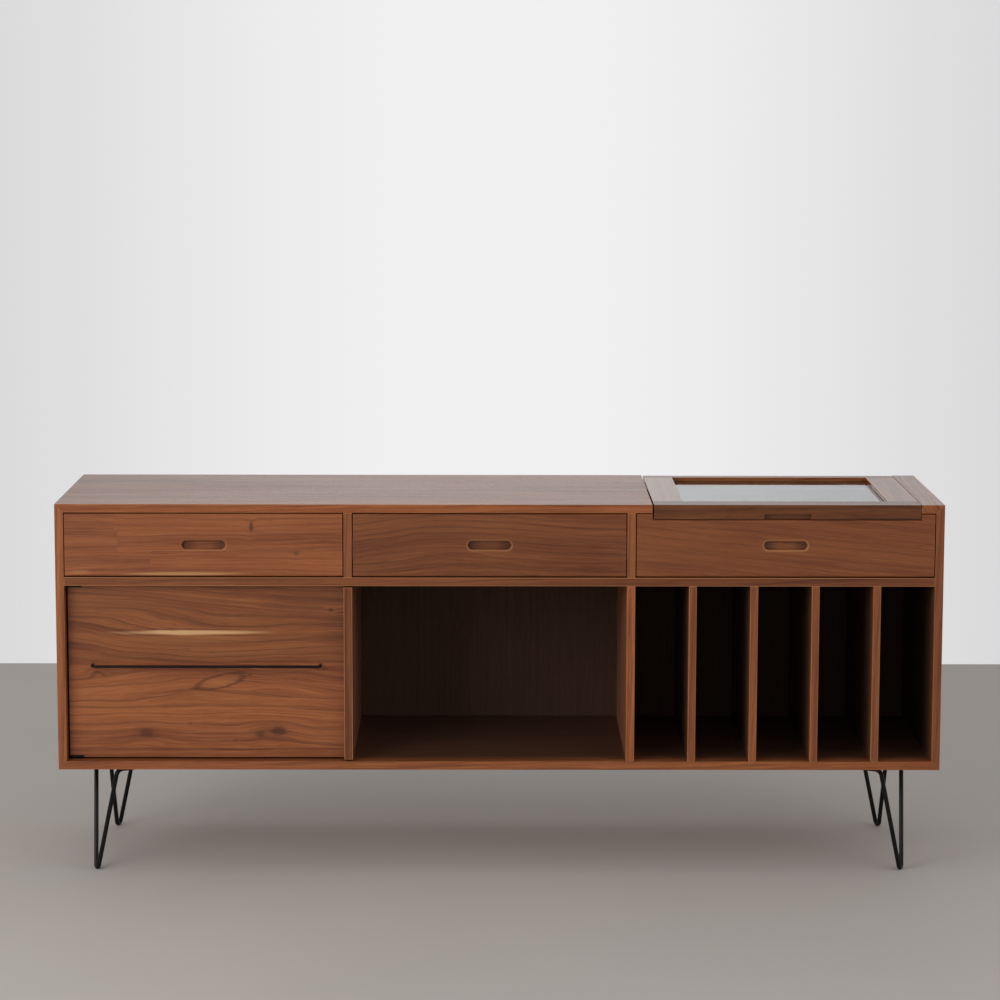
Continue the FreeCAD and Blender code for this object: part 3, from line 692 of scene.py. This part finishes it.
    def stain_tint(self, stain: PaintedBayShade) -> Tint:
        """Finds the faces inside the lower bays that the painted shade covers, feathered at the front
        edges.

        Args:
            stain: The painted shade and how much of the wood it covers.

        Returns:
            The painted shade's tint.
        """
        bay = LowerBays.of_frame()
        place = self.add(COORDINATES).outputs["Object"]
        axes = self.add(SEPARATE, (place,)).outputs
        beside = self.add(MATH, (axes["X"],), operation="ABSOLUTE")
        cover = self.add(MAP_RANGE, (
            axes["Y"], bay.front, bay.front + stain.feather_mm * MM, 0.0, stain.cover,
        ), interpolation_type="SMOOTHSTEP")
        for measure, operation, limit in (
            (beside, "LESS_THAN", bay.half_width),
            (axes["Z"], "GREATER_THAN", bay.floor),
            (axes["Z"], "LESS_THAN", bay.roof),
        ):
            within = self.add(MATH, (measure, limit), operation=operation)
            cover = self.add(MATH, (cover, within), operation="MULTIPLY")
        return cover, stain.colour


@dataclass(frozen=True)
class Coating:
    """A sprayed or moulded skin over a solid: one colour, a fine orange-peel texture, a satin sheen."""

    name: str
    colour: str
    wear_and_painted_highlight: str
    roughness: Pair
    ior: float = 1.5
    # The real texture is about 0.3 mm across; it is drawn coarser, or the picture would lose it.
    peel_mm: float = 1.4
    cloud_mm: float = 45.0
    worn: Span = (0.4, 0.7, 0.0, 1.0)
    relief_strength: float = 0.25
    relief_mm: float = 0.1

    @cache
    def material(self) -> Material:
        """Makes the skin.

        Returns:
            The material, made once.
        """
        material, add = start_material(self.name)
        place = add(COORDINATES).outputs["Object"]
        peel, cloud = (
            add(NOISE, {
                "Vector": place, "Scale": 1 / (size_mm * MM), "Detail": detail,
            }) for size_mm, detail in ((self.peel_mm, 2.0), (self.cloud_mm, 3.0))
        )
        worn = add(MAP_RANGE, (cloud, *self.worn))
        colour = add(MIX, {
            0: worn, MIX_A: linear(self.colour), MIX_B: linear(self.wear_and_painted_highlight),
        }, data_type="RGBA")
        sheen = add(MAP_RANGE, (cloud, *NOISE_RANGE, *self.roughness))
        bump = add("ShaderNodeBump", {
            "Strength": self.relief_strength, "Distance": self.relief_mm * MM, "Height": peel,
        })
        shader = add(PRINCIPLED, {
            "Base Color": colour.outputs[MIXED], "Roughness": sheen, "Normal": bump, "IOR": self.ior,
        })
        add(OUTPUT, (shader,))
        return material


@dataclass(frozen=True)
class Metal:
    """Bare or plated metal, rolled or tumbled: a bright reflection broken by fine brushed lines."""

    name: str
    colour: str
    dull: str
    roughness: Pair
    brushed_mm: Triple
    bloom_mm: float = 18.0
    relief_strength: float = 0.15
    relief_mm: float = 0.05

    @cache
    def material(self) -> Material:
        """Makes the metal.

        Returns:
            The material, made once.
        """
        material, add = start_material(self.name)
        place = add(COORDINATES).outputs["Object"]
        sizes = [1 / (size * MM) for size in self.brushed_mm]
        sized = add(VECTOR_MATH, (place, sizes), operation="MULTIPLY")
        brush = add(NOISE, {"Vector": sized, "Scale": 1.0, "Detail": 3.0})
        bloom = add(NOISE, {"Vector": place, "Scale": 1 / (self.bloom_mm * MM), "Detail": 2.0})
        colour = add(MIX, {
            0: bloom, MIX_A: linear(self.colour), MIX_B: linear(self.dull),
        }, data_type="RGBA")
        sheen = add(MAP_RANGE, (brush, *NOISE_RANGE, *self.roughness))
        bump = add("ShaderNodeBump", {
            "Strength": self.relief_strength, "Distance": self.relief_mm * MM, "Height": brush,
        })
        shader = add(PRINCIPLED, {
            "Base Color": colour.outputs[MIXED], "Metallic": 1.0, "Roughness": sheen, "Normal": bump,
        })
        add(OUTPUT, (shader,))
        return material


@dataclass(frozen=True)
class Pane:
    """Float glass, polished flat: a clear sharp reflection, dulled a little where hands have been."""

    name: str = "float_glass_pane"
    colour: str = "#CBD3DA"
    ior: float = 1.5
    smudge_mm: float = 70.0
    # From which noise the smudges show, and the roughness of clean and of dulled glass.
    smudges: Span = (0.45, 0.75, 0.01, 0.09)

    def material(self) -> Material:
        """Makes the glass.

        Returns:
            The material.
        """
        material, add = start_material(self.name)
        place = add(COORDINATES).outputs["Object"]
        smudge = add(NOISE, {"Vector": place, "Scale": 1 / (self.smudge_mm * MM), "Detail": 4.0})
        dulled = add(MAP_RANGE, (smudge, *self.smudges))
        shader = add(PRINCIPLED, {
            "Base Color": linear(self.colour), "Roughness": dulled, "IOR": self.ior,
            "Transmission Weight": 1.0,
        })
        add(OUTPUT, (shader,))
        return material


# Oiled acacia: red-brown, with dark flowing growth lines, pale sapwood and a low satin sheen.
ACACIA = Timber("oiled_acacia", light="#A86236", dark="#642D15", line="#3C1C0B", arris="#BC8153",
                warm="#9E5D31")
# Sealed rubberwood for the drawer boxes: pale straw colour, plain straight grain, short dark pores.
RUBBERWOOD = Timber("sealed_rubberwood", light="#D5AF80", dark="#BA8B5C", line="#906842", arris="#DFC39A",
                    warm="#CFA271", line_strength=0.25, roughness=(0.42, 0.52))
# Stained plywood for the back: dark brown veneer leaves with a dull, open surface.
PLYWOOD = Timber("stained_plywood", light="#573A2A", dark="#3E2719", line="#26170F", arris="#6A4B36",
                 warm="#4E3425", spread=0.05, line_strength=0.25, roughness=(0.72, 0.82))
# Black powder coat, baked on: satin, very slightly textured, a shade greyer where it is rubbed.
POWDER_COAT = Coating("black_powder_coat", "#0A0A0A", "#111111", (0.28, 0.38), ior=1.3)
# Black moulded ABS: an even dull skin straight from a textured mould.
MOULDED_ABS = Coating("moulded_black_abs", "#1A1A1B", "#222223", (0.45, 0.55), peel_mm=0.9)
# Zinc plate on pressed steel: cool grey with a cloudy bloom.
ZINC_PLATE = Metal("zinc_plated_steel", "#B9BDC2", "#8F9499", (0.26, 0.4), (2.5, 60.0, 2.5))
# Satin brass, rolled strip: warm yellow with fine lines along the leaf.
SATIN_BRASS = Metal("satin_brass", "#C9A968", "#A88748", (0.24, 0.36), (40.0, 1.5, 1.5))
# Black oxide on screw steel: a thin dark skin that still shines like the metal under it.
BLACK_OXIDE = Metal("black_oxide_steel", "#3B3B3D", "#2A2A2C", (0.28, 0.4), (1.2, 1.2, 1.2))

# Painted shade inside the lower bays, laid as a dark tint: thick on the floor, the shelf's underside and
# the slots, thin on the walls.
BAY_FLOOR_PAINTED_SHADE = PaintedBayShade("#43332A", cover=0.85, feather_mm=60.0)
BAY_WALL_PAINTED_SHADE = PaintedBayShade("#8A6856", cover=0.5, feather_mm=90.0)
SLOT_PAINTED_SHADE = PaintedBayShade("#40342D", cover=0.85, feather_mm=60.0)

# How near corners are joined before edges are rounded, in how many steps, and which edges are sharp.
JOINED_MM = 0.01
ARRIS_STEPS = 2
SHARP_DEG = 50
# How near two corners of a screw's mesh count as one.
SAME_PLACE_MM = 0.001


def dress(node: str, *materials: Material) -> bpy.types.Object:
    """Puts materials on a CAD piece's slots and reports it.

    Args:
        node: The CAD piece.
        materials: The material of each slot, in order.

    Returns:
        The piece.
    """
    piece = frame["nodes"][node]
    for index, material in enumerate(materials):
        if index < len(piece.material_slots):
            piece.material_slots[index].material = material
        else:
            piece.data.materials.append(material)
    log.info("dressed %s in %s", node, materials[0].name)
    return piece


def ease(piece: bpy.types.Object, width_mm: float, arris_slot: int = -1) -> None:
    """Rounds over a piece's sharp edges.

    Args:
        piece: The CAD piece.
        width_mm: How much of each face the rounding takes.
        arris_slot: The material slot of the rounded edges, or -1 for that of the faces beside them.
    """
    weld = piece.modifiers.new("joined_corners", "WELD")
    weld.merge_threshold = JOINED_MM * MM
    arris = piece.modifiers.new("eased_arris", "BEVEL")
    arris.width = width_mm * MM
    arris.segments = ARRIS_STEPS
    arris.limit_method = "ANGLE"
    arris.angle_limit = math.radians(SHARP_DEG)
    arris.material = arris_slot


def dress_board(board: Board, timber: Timber) -> None:
    """Dresses one board and eases its arrises.

    Args:
        board: The board.
        timber: The timber that it is sawn from.
    """
    if not board.eased_mm:
        dress(board.node, timber.material(board))
        return
    # The rounded arrises get the paler arris material: partly wear, partly painted highlight.
    piece = dress(board.node, timber.material(board), timber.arris_material(board.grain))
    ease(piece, board.eased_mm, arris_slot=1)


@dataclass(frozen=True)
class Seat:
    """Where one screw head sits: the top of its head and its radius, in metres."""

    top: Vector
    radius: float


def screw_seats(node: str, facing: Vector) -> list[Seat]:
    """Finds the head of each separate screw in a CAD piece.

    Args:
        node: The CAD piece that holds the screws.
        facing: The way that the heads face, along one axis.

    Returns:
        One seat for each screw.
    """
    mesh = bmesh.new()
    mesh.from_mesh(frame["nodes"][node].data)
    bmesh.ops.remove_doubles(mesh, verts=mesh.verts, dist=SAME_PLACE_MM * MM)
    waiting = set(mesh.verts)
    seats = []
    while waiting:
        island = [waiting.pop()]
        for vertex in island:
            for edge in vertex.link_edges:
                other = edge.other_vert(vertex)
                if other in waiting:
                    waiting.discard(other)
                    island.append(other)
        places = [vertex.co for vertex in island]
        low = Vector([min(place[axis] for place in places) for axis in range(3)])
        high = Vector([max(place[axis] for place in places) for axis in range(3)])
        middle = (low + high) / 2
        size = high - low
        reach = max(facing.dot(place) for place in places)
        top = middle + facing * (reach - facing.dot(middle))
        radius = max(size[axis] for axis in range(3) if not facing[axis]) / 2
        seats.append(Seat(top, radius))
    mesh.free()
    return seats


@dataclass
class ScrewHeads:
    """Domed screw heads with a six-lobed recess and a stub of shank, turned and pressed."""

    name: str
    seats: list[Seat]
    facing: Vector
    body: str
    sides: int = 36
    # Radius and height of each ring, as shares of the head's radius, from the shank's end to the recess.
    profile: tuple[Pair, ...] = (
        (0.5, -1.0), (0.5, -0.5), (1.0, -0.5), (1.0, -0.36), (0.93, -0.2), (0.76, -0.07), (0.55, 0.0),
        (0.42, 0.0), (0.4, -0.3), (0.12, -0.36),
    )
    lobed_from: int = 7
    lobes: int = 6
    lobe_depth: float = 0.13

    def build(self) -> bpy.types.Object:
        """Makes all the heads as one piece that rides on the body.

        Returns:
            The new piece.
        """
        mesh = bmesh.new()
        for seat in self.seats:
            self.add_head(mesh, seat)
        bmesh.ops.recalc_face_normals(mesh, faces=mesh.faces)
        data = bpy.data.meshes.new(self.name)
        mesh.to_mesh(data)
        mesh.free()
        data.materials.append(BLACK_OXIDE.material())
        piece = bpy.data.objects.new(self.name, data)
        bpy.context.scene.collection.objects.link(piece)
        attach(piece, self.body)
        log.info("built %s, %d heads", self.name, len(self.seats))
        return piece

    def add_head(self, mesh: bmesh.types.BMesh, seat: Seat) -> None:
        """Adds one closed head, ring by ring.

        Args:
            mesh: The mesh that takes the head.
            seat: Where the head sits.
        """
        turn = self.facing.to_track_quat("Z", "Y").to_matrix().to_4x4()
        place = Matrix.Translation(seat.top) @ turn
        rings = []
        for index, (share, height) in enumerate(self.profile):
            ring = []
            for side in range(self.sides):
                angle = math.tau * side / self.sides
                depth = self.lobe_depth if index >= self.lobed_from else 0.0
                radius = seat.radius * share * (1 + depth * math.cos(self.lobes * angle))
                local = Vector((radius * math.cos(angle), radius * math.sin(angle), seat.radius * height))
                ring.append(mesh.verts.new(place @ local))
            rings.append(ring)
        for lower, upper in zip(rings, rings[1:]):
            for side in range(self.sides):
                after = (side + 1) % self.sides
                mesh.faces.new((lower[side], lower[after], upper[after], upper[side]))
        mesh.faces.new(rings[0])
        mesh.faces.new(rings[-1])


@dataclass
class Carcase:
    """The fixed case: sides, top, shelf, floor, dividers, back and the fittings screwed to them."""

    timber: Timber = ACACIA
    back: Timber = PLYWOOD
    panel_stave_mm: Pair = (FAR_MM, 95.0)
    back_screw_radius: float = 4.0 * MM
    # How far a head stands out of the panel, as a share of its radius: the height of its dome.
    back_screw_lift: float = 0.5
    back_screw_inset: float = 9.0 * MM
    back_screws_across: int = 8
    back_screws_up: int = 3

    def boards(self) -> tuple[Board, ...]:
        """Lists the case's boards with the way each was sawn.

        Returns:
            The boards.
        """
        upright = Grain.SIDE_UPRIGHT
        flat = Grain.FLAT_ACROSS
        panel = partial(Board, stave_mm=self.panel_stave_mm)
        dividers = tuple(
            panel(f"record_divider_{number}", upright, 20 + number * 1.7, stain=SLOT_PAINTED_SHADE)
            for number in range(1, 5)
        )
        return (
            # The left side's higher tone and the right side's lower one are partly painted light: besides
            # the wood's own tone they stand for the light falling from the front left.
            panel("side_left", upright, 1.3, tone=1.15, stain=BAY_WALL_PAINTED_SHADE, eased_mm=0.6),
            panel("side_right", upright, 2.6, tone=0.8, stain=SLOT_PAINTED_SHADE, eased_mm=0.6),
            panel("top_panel", flat, 3.1, tone=1.15, gloss=0.65, eased_mm=0.6),
            Board("top_strip_right", Grain.FLAT_DEEP, 4.4, tone=1.15, gloss=0.52, eased_mm=0.6),
            panel("bottom_panel", flat, 5.2, tone=1.1, stain=BAY_FLOOR_PAINTED_SHADE, eased_mm=0.8),
            panel("mid_shelf", flat, 6.7, tone=0.8, stain=BAY_FLOOR_PAINTED_SHADE),
            Board("upper_divider_left", upright, 7.9, tone=0.95),
            Board("upper_divider_right", upright, 8.5, tone=0.95),
            panel("lower_divider_left", upright, 9.3, tone=1.1, stain=BAY_WALL_PAINTED_SHADE),
            panel("lower_divider_right", upright, 10.6, tone=1.42, stain=BAY_WALL_PAINTED_SHADE),
            Board("lid_rests", Grain.FLAT_DEEP, 11.4),
            Board("lid_hinge_rail", Grain.FRONT_ACROSS, 12.8, tone=0.8),
            *dividers,
        )

    def dress(self) -> None:
        """Dresses the boards, the back and the metal fittings."""
        for board in self.boards():
            dress_board(board, self.timber)
        back = Board("back_panel", Grain.FRONT_UPRIGHT, 13.7, contrast=0.45, stave_mm=self.panel_stave_mm,
                     eased_mm=0.0)
        dress_board(back, self.back)
        dress("lid_hinge_lower_leaves", SATIN_BRASS.material())
        dress("door_hinge_plates", POWDER_COAT.material())
        for side in ("left", "middle", "right"):
            dress(f"drawer_{side}_runners", ZINC_PLATE.material())
        ease(dress("door_catch", MOULDED_ABS.material()), width_mm=0.8)
        self.add_back_screws()

    def add_back_screws(self) -> None:
        """Adds the back panel's screws, evenly spaced round its edge and clear of the lid's swing."""
        low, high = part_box("back_panel")
        lid_left, lid_right = (corner.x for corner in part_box("lid_back_rail"))
        inset = self.back_screw_inset
        lift = self.back_screw_radius * self.back_screw_lift
        left, right = low.x + inset, high.x - inset
        bottom, top = low.z + inset, high.z - inset
        step_x = (right - left) / (self.back_screws_across - 1)
        step_z = (top - bottom) / (self.back_screws_up - 1)
        row = [left + step_x * index for index in range(self.back_screws_across)]
        places = [(x, bottom) for x in row]
        places += [(x, top) for x in row if not lid_left - inset < x < lid_right + inset]
        places += [(edge, bottom + step_z * index) for index in range(1, self.back_screws_up - 1)
                   for edge in (left, right)]
        seats = [Seat(Vector((x, high.y + lift, z)), self.back_screw_radius) for x, z in places]
        ScrewHeads("back_panel_screw_heads", seats, Vector((0, 1, 0)), "case").build()


@dataclass
class HairpinLegs:
    """Four bent-rod legs on plates, with their screws."""

    coat: Coating = POWDER_COAT
    corners: tuple[str, ...] = ("front_left", "front_right", "rear_left", "rear_right")

    def dress(self) -> None:
        """Coats the rods and plates and sets the screw heads."""
        for corner in self.corners:
            dress(f"hairpin_leg_{corner}", self.coat.material())
        dress("leg_plates", self.coat.material())
        down = Vector((0, 0, -1))
        heads = ScrewHeads("leg_screw_heads", screw_seats("leg_screws", down), down, "case").build()
        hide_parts("leg_screws")


@dataclass
class Door:
    """The left-hand door: two figured boards, a strip, an edge batten, its handle and its hinges."""

    timber: Timber = ACACIA

    def boards(self) -> tuple[Board, ...]:
        """Lists the door's boards with the figure that each shows.

        Returns:
            The boards.
        """
        front = Grain.FRONT_ACROSS
        upper_marks = (
            Mark(251.0, 30.0, 7.0, 5.0, strength=0.75, swirl_mm=4.0),
            Mark(-34.0, -10.5, 170.0, 2.6, strength=0.5),
            Mark(-40.0, -30.0, 190.0, 12.0, WARM_BAND, strength=0.4),
            Mark(-36.0, -17.0, 180.0, 6.8, PALE_SAPWOOD, strength=1.0),
            Mark(190.0, 45.0, 120.0, 26.0, DARK_BAND, strength=0.35),
            Mark(-40.0, -60.0, 110.0, 30.0, swirl_mm=16.0),
            Mark(-180.0, 55.0, 70.0, 28.0, swirl_mm=-14.0),
        )
        lower_marks = (
            Mark(132.0, -55.0, 58.0, 26.0, KNOT_HALO, strength=0.4),
            Mark(-123.0, -56.0, 40.0, 22.0, KNOT_HALO, strength=0.35),
            Mark(144.0, -52.0, 22.0, 13.0, strength=0.7, swirl_mm=8.0),
            Mark(107.0, -59.0, 14.0, 9.0, strength=0.5, swirl_mm=4.0),
            Mark(-123.0, -56.0, 20.0, 12.0, strength=0.55, swirl_mm=5.0),
            Mark(-222.0, 69.0, 9.0, 5.0, strength=0.45, swirl_mm=4.0),
            Mark(87.0, 63.0, 6.0, 3.0, strength=0.6),
            Mark(-35.0, -37.0, 6.0, 2.5, strength=0.5),
            Mark(56.0, -72.0, 8.0, 3.0, strength=0.5),
            Mark(28.0, 50.0, 48.0, 12.0, LOOP_HEART, strength=0.35, turn_deg=13.0),
            Mark(28.0, 50.0, 53.0, 14.0, strength=0.55, turn_deg=13.0, outlined=True),
            Mark(30.0, 62.0, 95.0, 26.0, swirl_mm=18.0),
        )
        return (
            Board("door_bottom_strip", front, 31.2, eased_mm=0.0),
            Board("door_lower_board", front, 32.5, tone=1.1, pith_mm=(-190.0, 60.0), bend_mm=10.0,
                  ring_scale=1.2, marks=lower_marks, eased_mm=0.0),
            Board("door_upper_board", front, 33.1, tone=0.93, pith_mm=(150.0, 60.0), turn_deg=3.0,
                  bend_mm=8.0, marks=upper_marks, eased_mm=0.0),
            Board("door_edge_batten", Grain.FRONT_UPRIGHT, 34.6, tone=0.68),
        )

    def dress(self) -> None:
        """Dresses the boards and the fittings and sets the handle's screw heads."""
        for board in self.boards():
            dress_board(board, self.timber)
        dress("door_handle_bar", POWDER_COAT.material())
        ease(dress("door_strike_plate", ZINC_PLATE.material()), width_mm=0.2)
        dress("door_hinge_leaves", POWDER_COAT.material())
        inward = Vector((0, 1, 0))
        seats = screw_seats("door_handle_screws", inward)
        heads = ScrewHeads("door_handle_screw_heads", seats, inward, "door").build()
        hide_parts("door_handle_screws")


@dataclass
class Drawer:
    """One drawer: a figured front with its finger pull, a pale box and a pair of slides."""

    side: str
    front: Board
    box: Timber = RUBBERWOOD

    def dress(self) -> None:
        """Dresses the front, the box and the slides."""
        dress_board(self.front, ACACIA)
        seed = self.front.seed
        name = f"drawer_{self.side}"
        for board in (
            Board(f"{name}_sides", Grain.SIDE_DEEP, seed + 1.1, eased_mm=0.8),
            Board(f"{name}_back", Grain.FRONT_ACROSS, seed + 2.2, eased_mm=0.8),
            Board(f"{name}_bottom", Grain.FLAT_ACROSS, seed + 3.3, eased_mm=0.0),
        ):
            dress_board(board, self.box)
        dress(f"{name}_slides", ZINC_PLATE.material())


@dataclass
class GlazedLid:
    """The lifting lid over the right-hand drawer: four rails, a pane and its hinges."""

    timber: Timber = ACACIA

    def dress(self) -> None:
        """Dresses the rails, the pane, its stops and the hinge leaves."""
        flat = Grain.FLAT_ACROSS
        deep = Grain.FLAT_DEEP
        for board in (
            Board("lid_front_rail", flat, 41.4, tone=0.5, gloss=0.6, eased_mm=0.0),
            Board("lid_left_stile", deep, 42.3, gloss=0.32),
            Board("lid_right_stile", deep, 43.9, tone=1.15, gloss=0.46),
            Board("lid_back_rail", flat, 44.5, gloss=0.6),
            Board("lid_glass_stops", flat, 45.2, eased_mm=0.0),
        ):
            dress_board(board, self.timber)
        ease(dress("lid_glass", Pane().material()), width_mm=0.5)
        dress("lid_hinge_upper_leaves", SATIN_BRASS.material())


@dataclass(frozen=True)
class SoftLamp:
    """A rectangle of soft light aimed at the cabinet."""

    name: str
    place: Triple
    size: Pair
    watts: float
    aim: Triple = (-0.1, 0.0, 0.45)

    def build(self) -> None:
        """Makes the lamp, unseen by the camera."""
        lamp = bpy.data.lights.new(self.name, "AREA")
        lamp.shape = "RECTANGLE"
        lamp.size, lamp.size_y = self.size
        lamp.energy = self.watts
        holder = bpy.data.objects.new(self.name, lamp)
        place = Vector(self.place)
        aim = Vector(self.aim) - place
        turn = aim.to_track_quat("-Z", "Y").to_matrix().to_4x4()
        holder.matrix_world = Matrix.Translation(place) @ turn
        holder.visible_camera = False
        bpy.context.scene.collection.objects.link(holder)


@dataclass
class Studio:
    """A pale floor, a bright wall behind, a soft lamp at the front left and a weaker one at the right."""

    half_floor: float = 9.0
    wall_y: float = 2.03
    wall_top: float = 6.0
    floor_colour: str = "#CCC6C0"
    floor_roughness: float = 0.7
    # How much darker and lighter the floor's faint clouds are.
    floor_clouds: Pair = (0.97, 1.03)
    wall_colour: str = "#D9D8D6"
    # How far to either side the wall's glow starts to fall and is at its least, and its strength there.
    wall_glow: Span = (0.2, 1.7, 0.87, 0.68)
    sky_strength: float = 0.52
    lamps: tuple[SoftLamp, ...] = (
        SoftLamp("soft_key_lamp", (-2.6, -3.0, 1.7), (2.2, 1.8), 47.0),
        SoftLamp("soft_fill_lamp", (2.9, -2.6, 1.9), (1.8, 1.8), 12.5),
    )

    def build(self) -> None:
        """Makes the floor, the wall, the lamps and the world."""
        half = self.half_floor
        wall = self.wall_y
        top = self.wall_top
        floor_corners = [(-half, -half, 0), (half, -half, 0), (half, half, 0), (-half, half, 0)]
        wall_corners = [(-half, wall, 0), (half, wall, 0), (half, wall, top), (-half, wall, top)]
        self.plane("studio_floor", floor_corners, self.floor_material())
        self.plane("studio_wall", wall_corners, self.wall_material())
        self.light()

    def plane(self, name: str, corners: list[Triple], material: Material) -> None:
        """Makes one flat stage piece.

        Args:
            name: The piece's name.
            corners: Its four corners in order.
            material: Its material.
        """
        data = bpy.data.meshes.new(name)
        data.from_pydata(corners, [], [(0, 1, 2, 3)])
        data.materials.append(material)
        piece = bpy.data.objects.new(name, data)
        bpy.context.scene.collection.objects.link(piece)

    def floor_material(self) -> Material:
        """Makes a pale painted floor with a faint cloudiness, open when seen from below.

        Returns:
            The material.
        """
        material, add = start_material("pale_painted_floor")
        place = add(COORDINATES).outputs["Object"]
        cloud = add(NOISE, {"Vector": place, "Scale": 1.2, "Detail": 2.0})
        tone = add(MAP_RANGE, (cloud, *NOISE_RANGE, *self.floor_clouds))
        colour = add(VECTOR_MATH, {0: linear(self.floor_colour)[:3], "Scale": tone}, operation="SCALE")
        paint = add(PRINCIPLED, {"Base Color": colour, "Roughness": self.floor_roughness})
        self.open_behind(add, paint)
        return material

    def wall_material(self) -> Material:
        """Makes a wall that is bright to the eye and in reflections, and open when seen from behind.

        Returns:
            The material.
        """
        material, add = start_material("bright_studio_wall")
        place = add(COORDINATES).outputs["Object"]
        across = add(SEPARATE, (place,)).outputs["X"]
        beside = add(MATH, (across,), operation="ABSOLUTE")
        glow = add(MAP_RANGE, (beside, *self.wall_glow), interpolation_type="SMOOTHSTEP")
        path = add("ShaderNodeLightPath").outputs
        seen = path["Is Camera Ray"]
        for other in ("Is Glossy Ray", "Is Transmission Ray"):
            seen = add(MATH, (seen, path[other]), operation="MAXIMUM")
        plaster = add("ShaderNodeBsdfDiffuse", {"Color": linear(self.wall_colour)})
        shine = add("ShaderNodeEmission", {"Color": linear(WHITE), "Strength": glow})
        face = add("ShaderNodeMixShader", (seen, plaster, shine))
        self.open_behind(add, face)
        return material

    def open_behind(self, add: Adder, face: Node) -> None:
        """Finishes a stage material that can be seen through from its back.

        Args:
            add: What adds nodes to the material.
            face: The shader of its front.
        """
        behind = add("ShaderNodeNewGeometry").outputs["Backfacing"]
        clear = add("ShaderNodeBsdfTransparent")
        either = add("ShaderNodeMixShader", (behind, face, clear))
        add(OUTPUT, (either,))

    def light(self) -> None:
        """Makes the soft lamps and the even light of the room."""
        for lamp in self.lamps:
            lamp.build()
        world = bpy.data.worlds.new("even_room_light")
        world.use_nodes = True
        world.node_tree.nodes.clear()
        add = partial(add_node, world.node_tree)
        room = add("ShaderNodeBackground", {"Color": linear(WHITE), "Strength": self.sky_strength})
        add("ShaderNodeOutputWorld", (room,))
        bpy.context.scene.world = world


@dataclass
class Viewpoint:
    """The camera at the photograph's viewing angle."""

    place: Triple = (-0.0316, -6.3313, 1.6126)
    yaw_deg: float = 0.298
    pitch_deg: float = -7.878
    roll_deg: float = 0.118
    lens_mm: float = 111.07
    sensor_mm: float = 36.0

    def build(self) -> None:
        """Makes the camera and gives it to the scene."""
        camera = bpy.data.cameras.new("photograph_camera")
        camera.lens = self.lens_mm
        camera.sensor_width = self.sensor_mm
        holder = bpy.data.objects.new("photograph_camera", camera)
        holder.matrix_world = (
            Matrix.Translation(self.place)
            @ Matrix.Rotation(math.radians(-self.yaw_deg), 4, "Z")
            @ Matrix.Rotation(math.radians(90 + self.pitch_deg), 4, "X")
            @ Matrix.Rotation(math.radians(self.roll_deg), 4, "Z")
        )
        bpy.context.scene.collection.objects.link(holder)
        bpy.context.scene.camera = holder


def drawers() -> tuple[Drawer, ...]:
    """Lists the three drawers with the figure of each front.

    Returns:
        The drawers.
    """
    front = Grain.FRONT_ACROSS
    left_marks = (
        Mark(96.0, 37.0, 6.0, 14.0, strength=0.7, swirl_mm=3.0),
        Mark(186.0, -17.0, 8.0, 7.0, strength=0.35, swirl_mm=2.0),
        Mark(-41.0, -58.0, 150.0, 4.5, SAPWOOD, strength=0.8),
        Mark(-248.0, -55.0, 30.0, 7.0, SAPWOOD_END, strength=0.6),
    )
    middle_marks = (
        Mark(-50.0, 25.0, 75.0, 30.0, swirl_mm=-20.0),
    )
    # Each lip value is the strength of the painted highlight on that front's pull, growing from left to
    # right.
    fronts = {
        "left": Board("drawer_left_front", front, 51.3, tone=1.13, contrast=0.7, marks=left_marks,
                      stave_mm=(FAR_MM, 43.0), joint_mm=60.0, stagger_mm=180.0, painted_lip_highlight=0.25, eased_mm=0.0),
        "middle": Board("drawer_middle_front", front, 52.9, tone=0.76, bend_mm=7.0, contrast=0.8,
                        marks=middle_marks, painted_lip_highlight=0.45, eased_mm=0.0),
        "right": Board("drawer_right_front", front, 53.4, tone=0.95, turn_deg=6.0, bend_mm=4.0,
                       contrast=0.48, painted_lip_highlight=0.6, eased_mm=0.0),
    }
    return tuple(Drawer(side, board) for side, board in fronts.items())


def main() -> None:
    """Builds the camera, each sub-assembly and the studio in order."""
    logging.basicConfig(level=logging.INFO, format="%(name)s: %(message)s")
    bpy.context.scene.view_settings.view_transform = "Standard"
    Viewpoint().build()
    for assembly in (Carcase(), HairpinLegs(), Door(), *drawers(), GlazedLid()):
        assembly.dress()
    Studio().build()


if __name__ == "__main__":
    main()
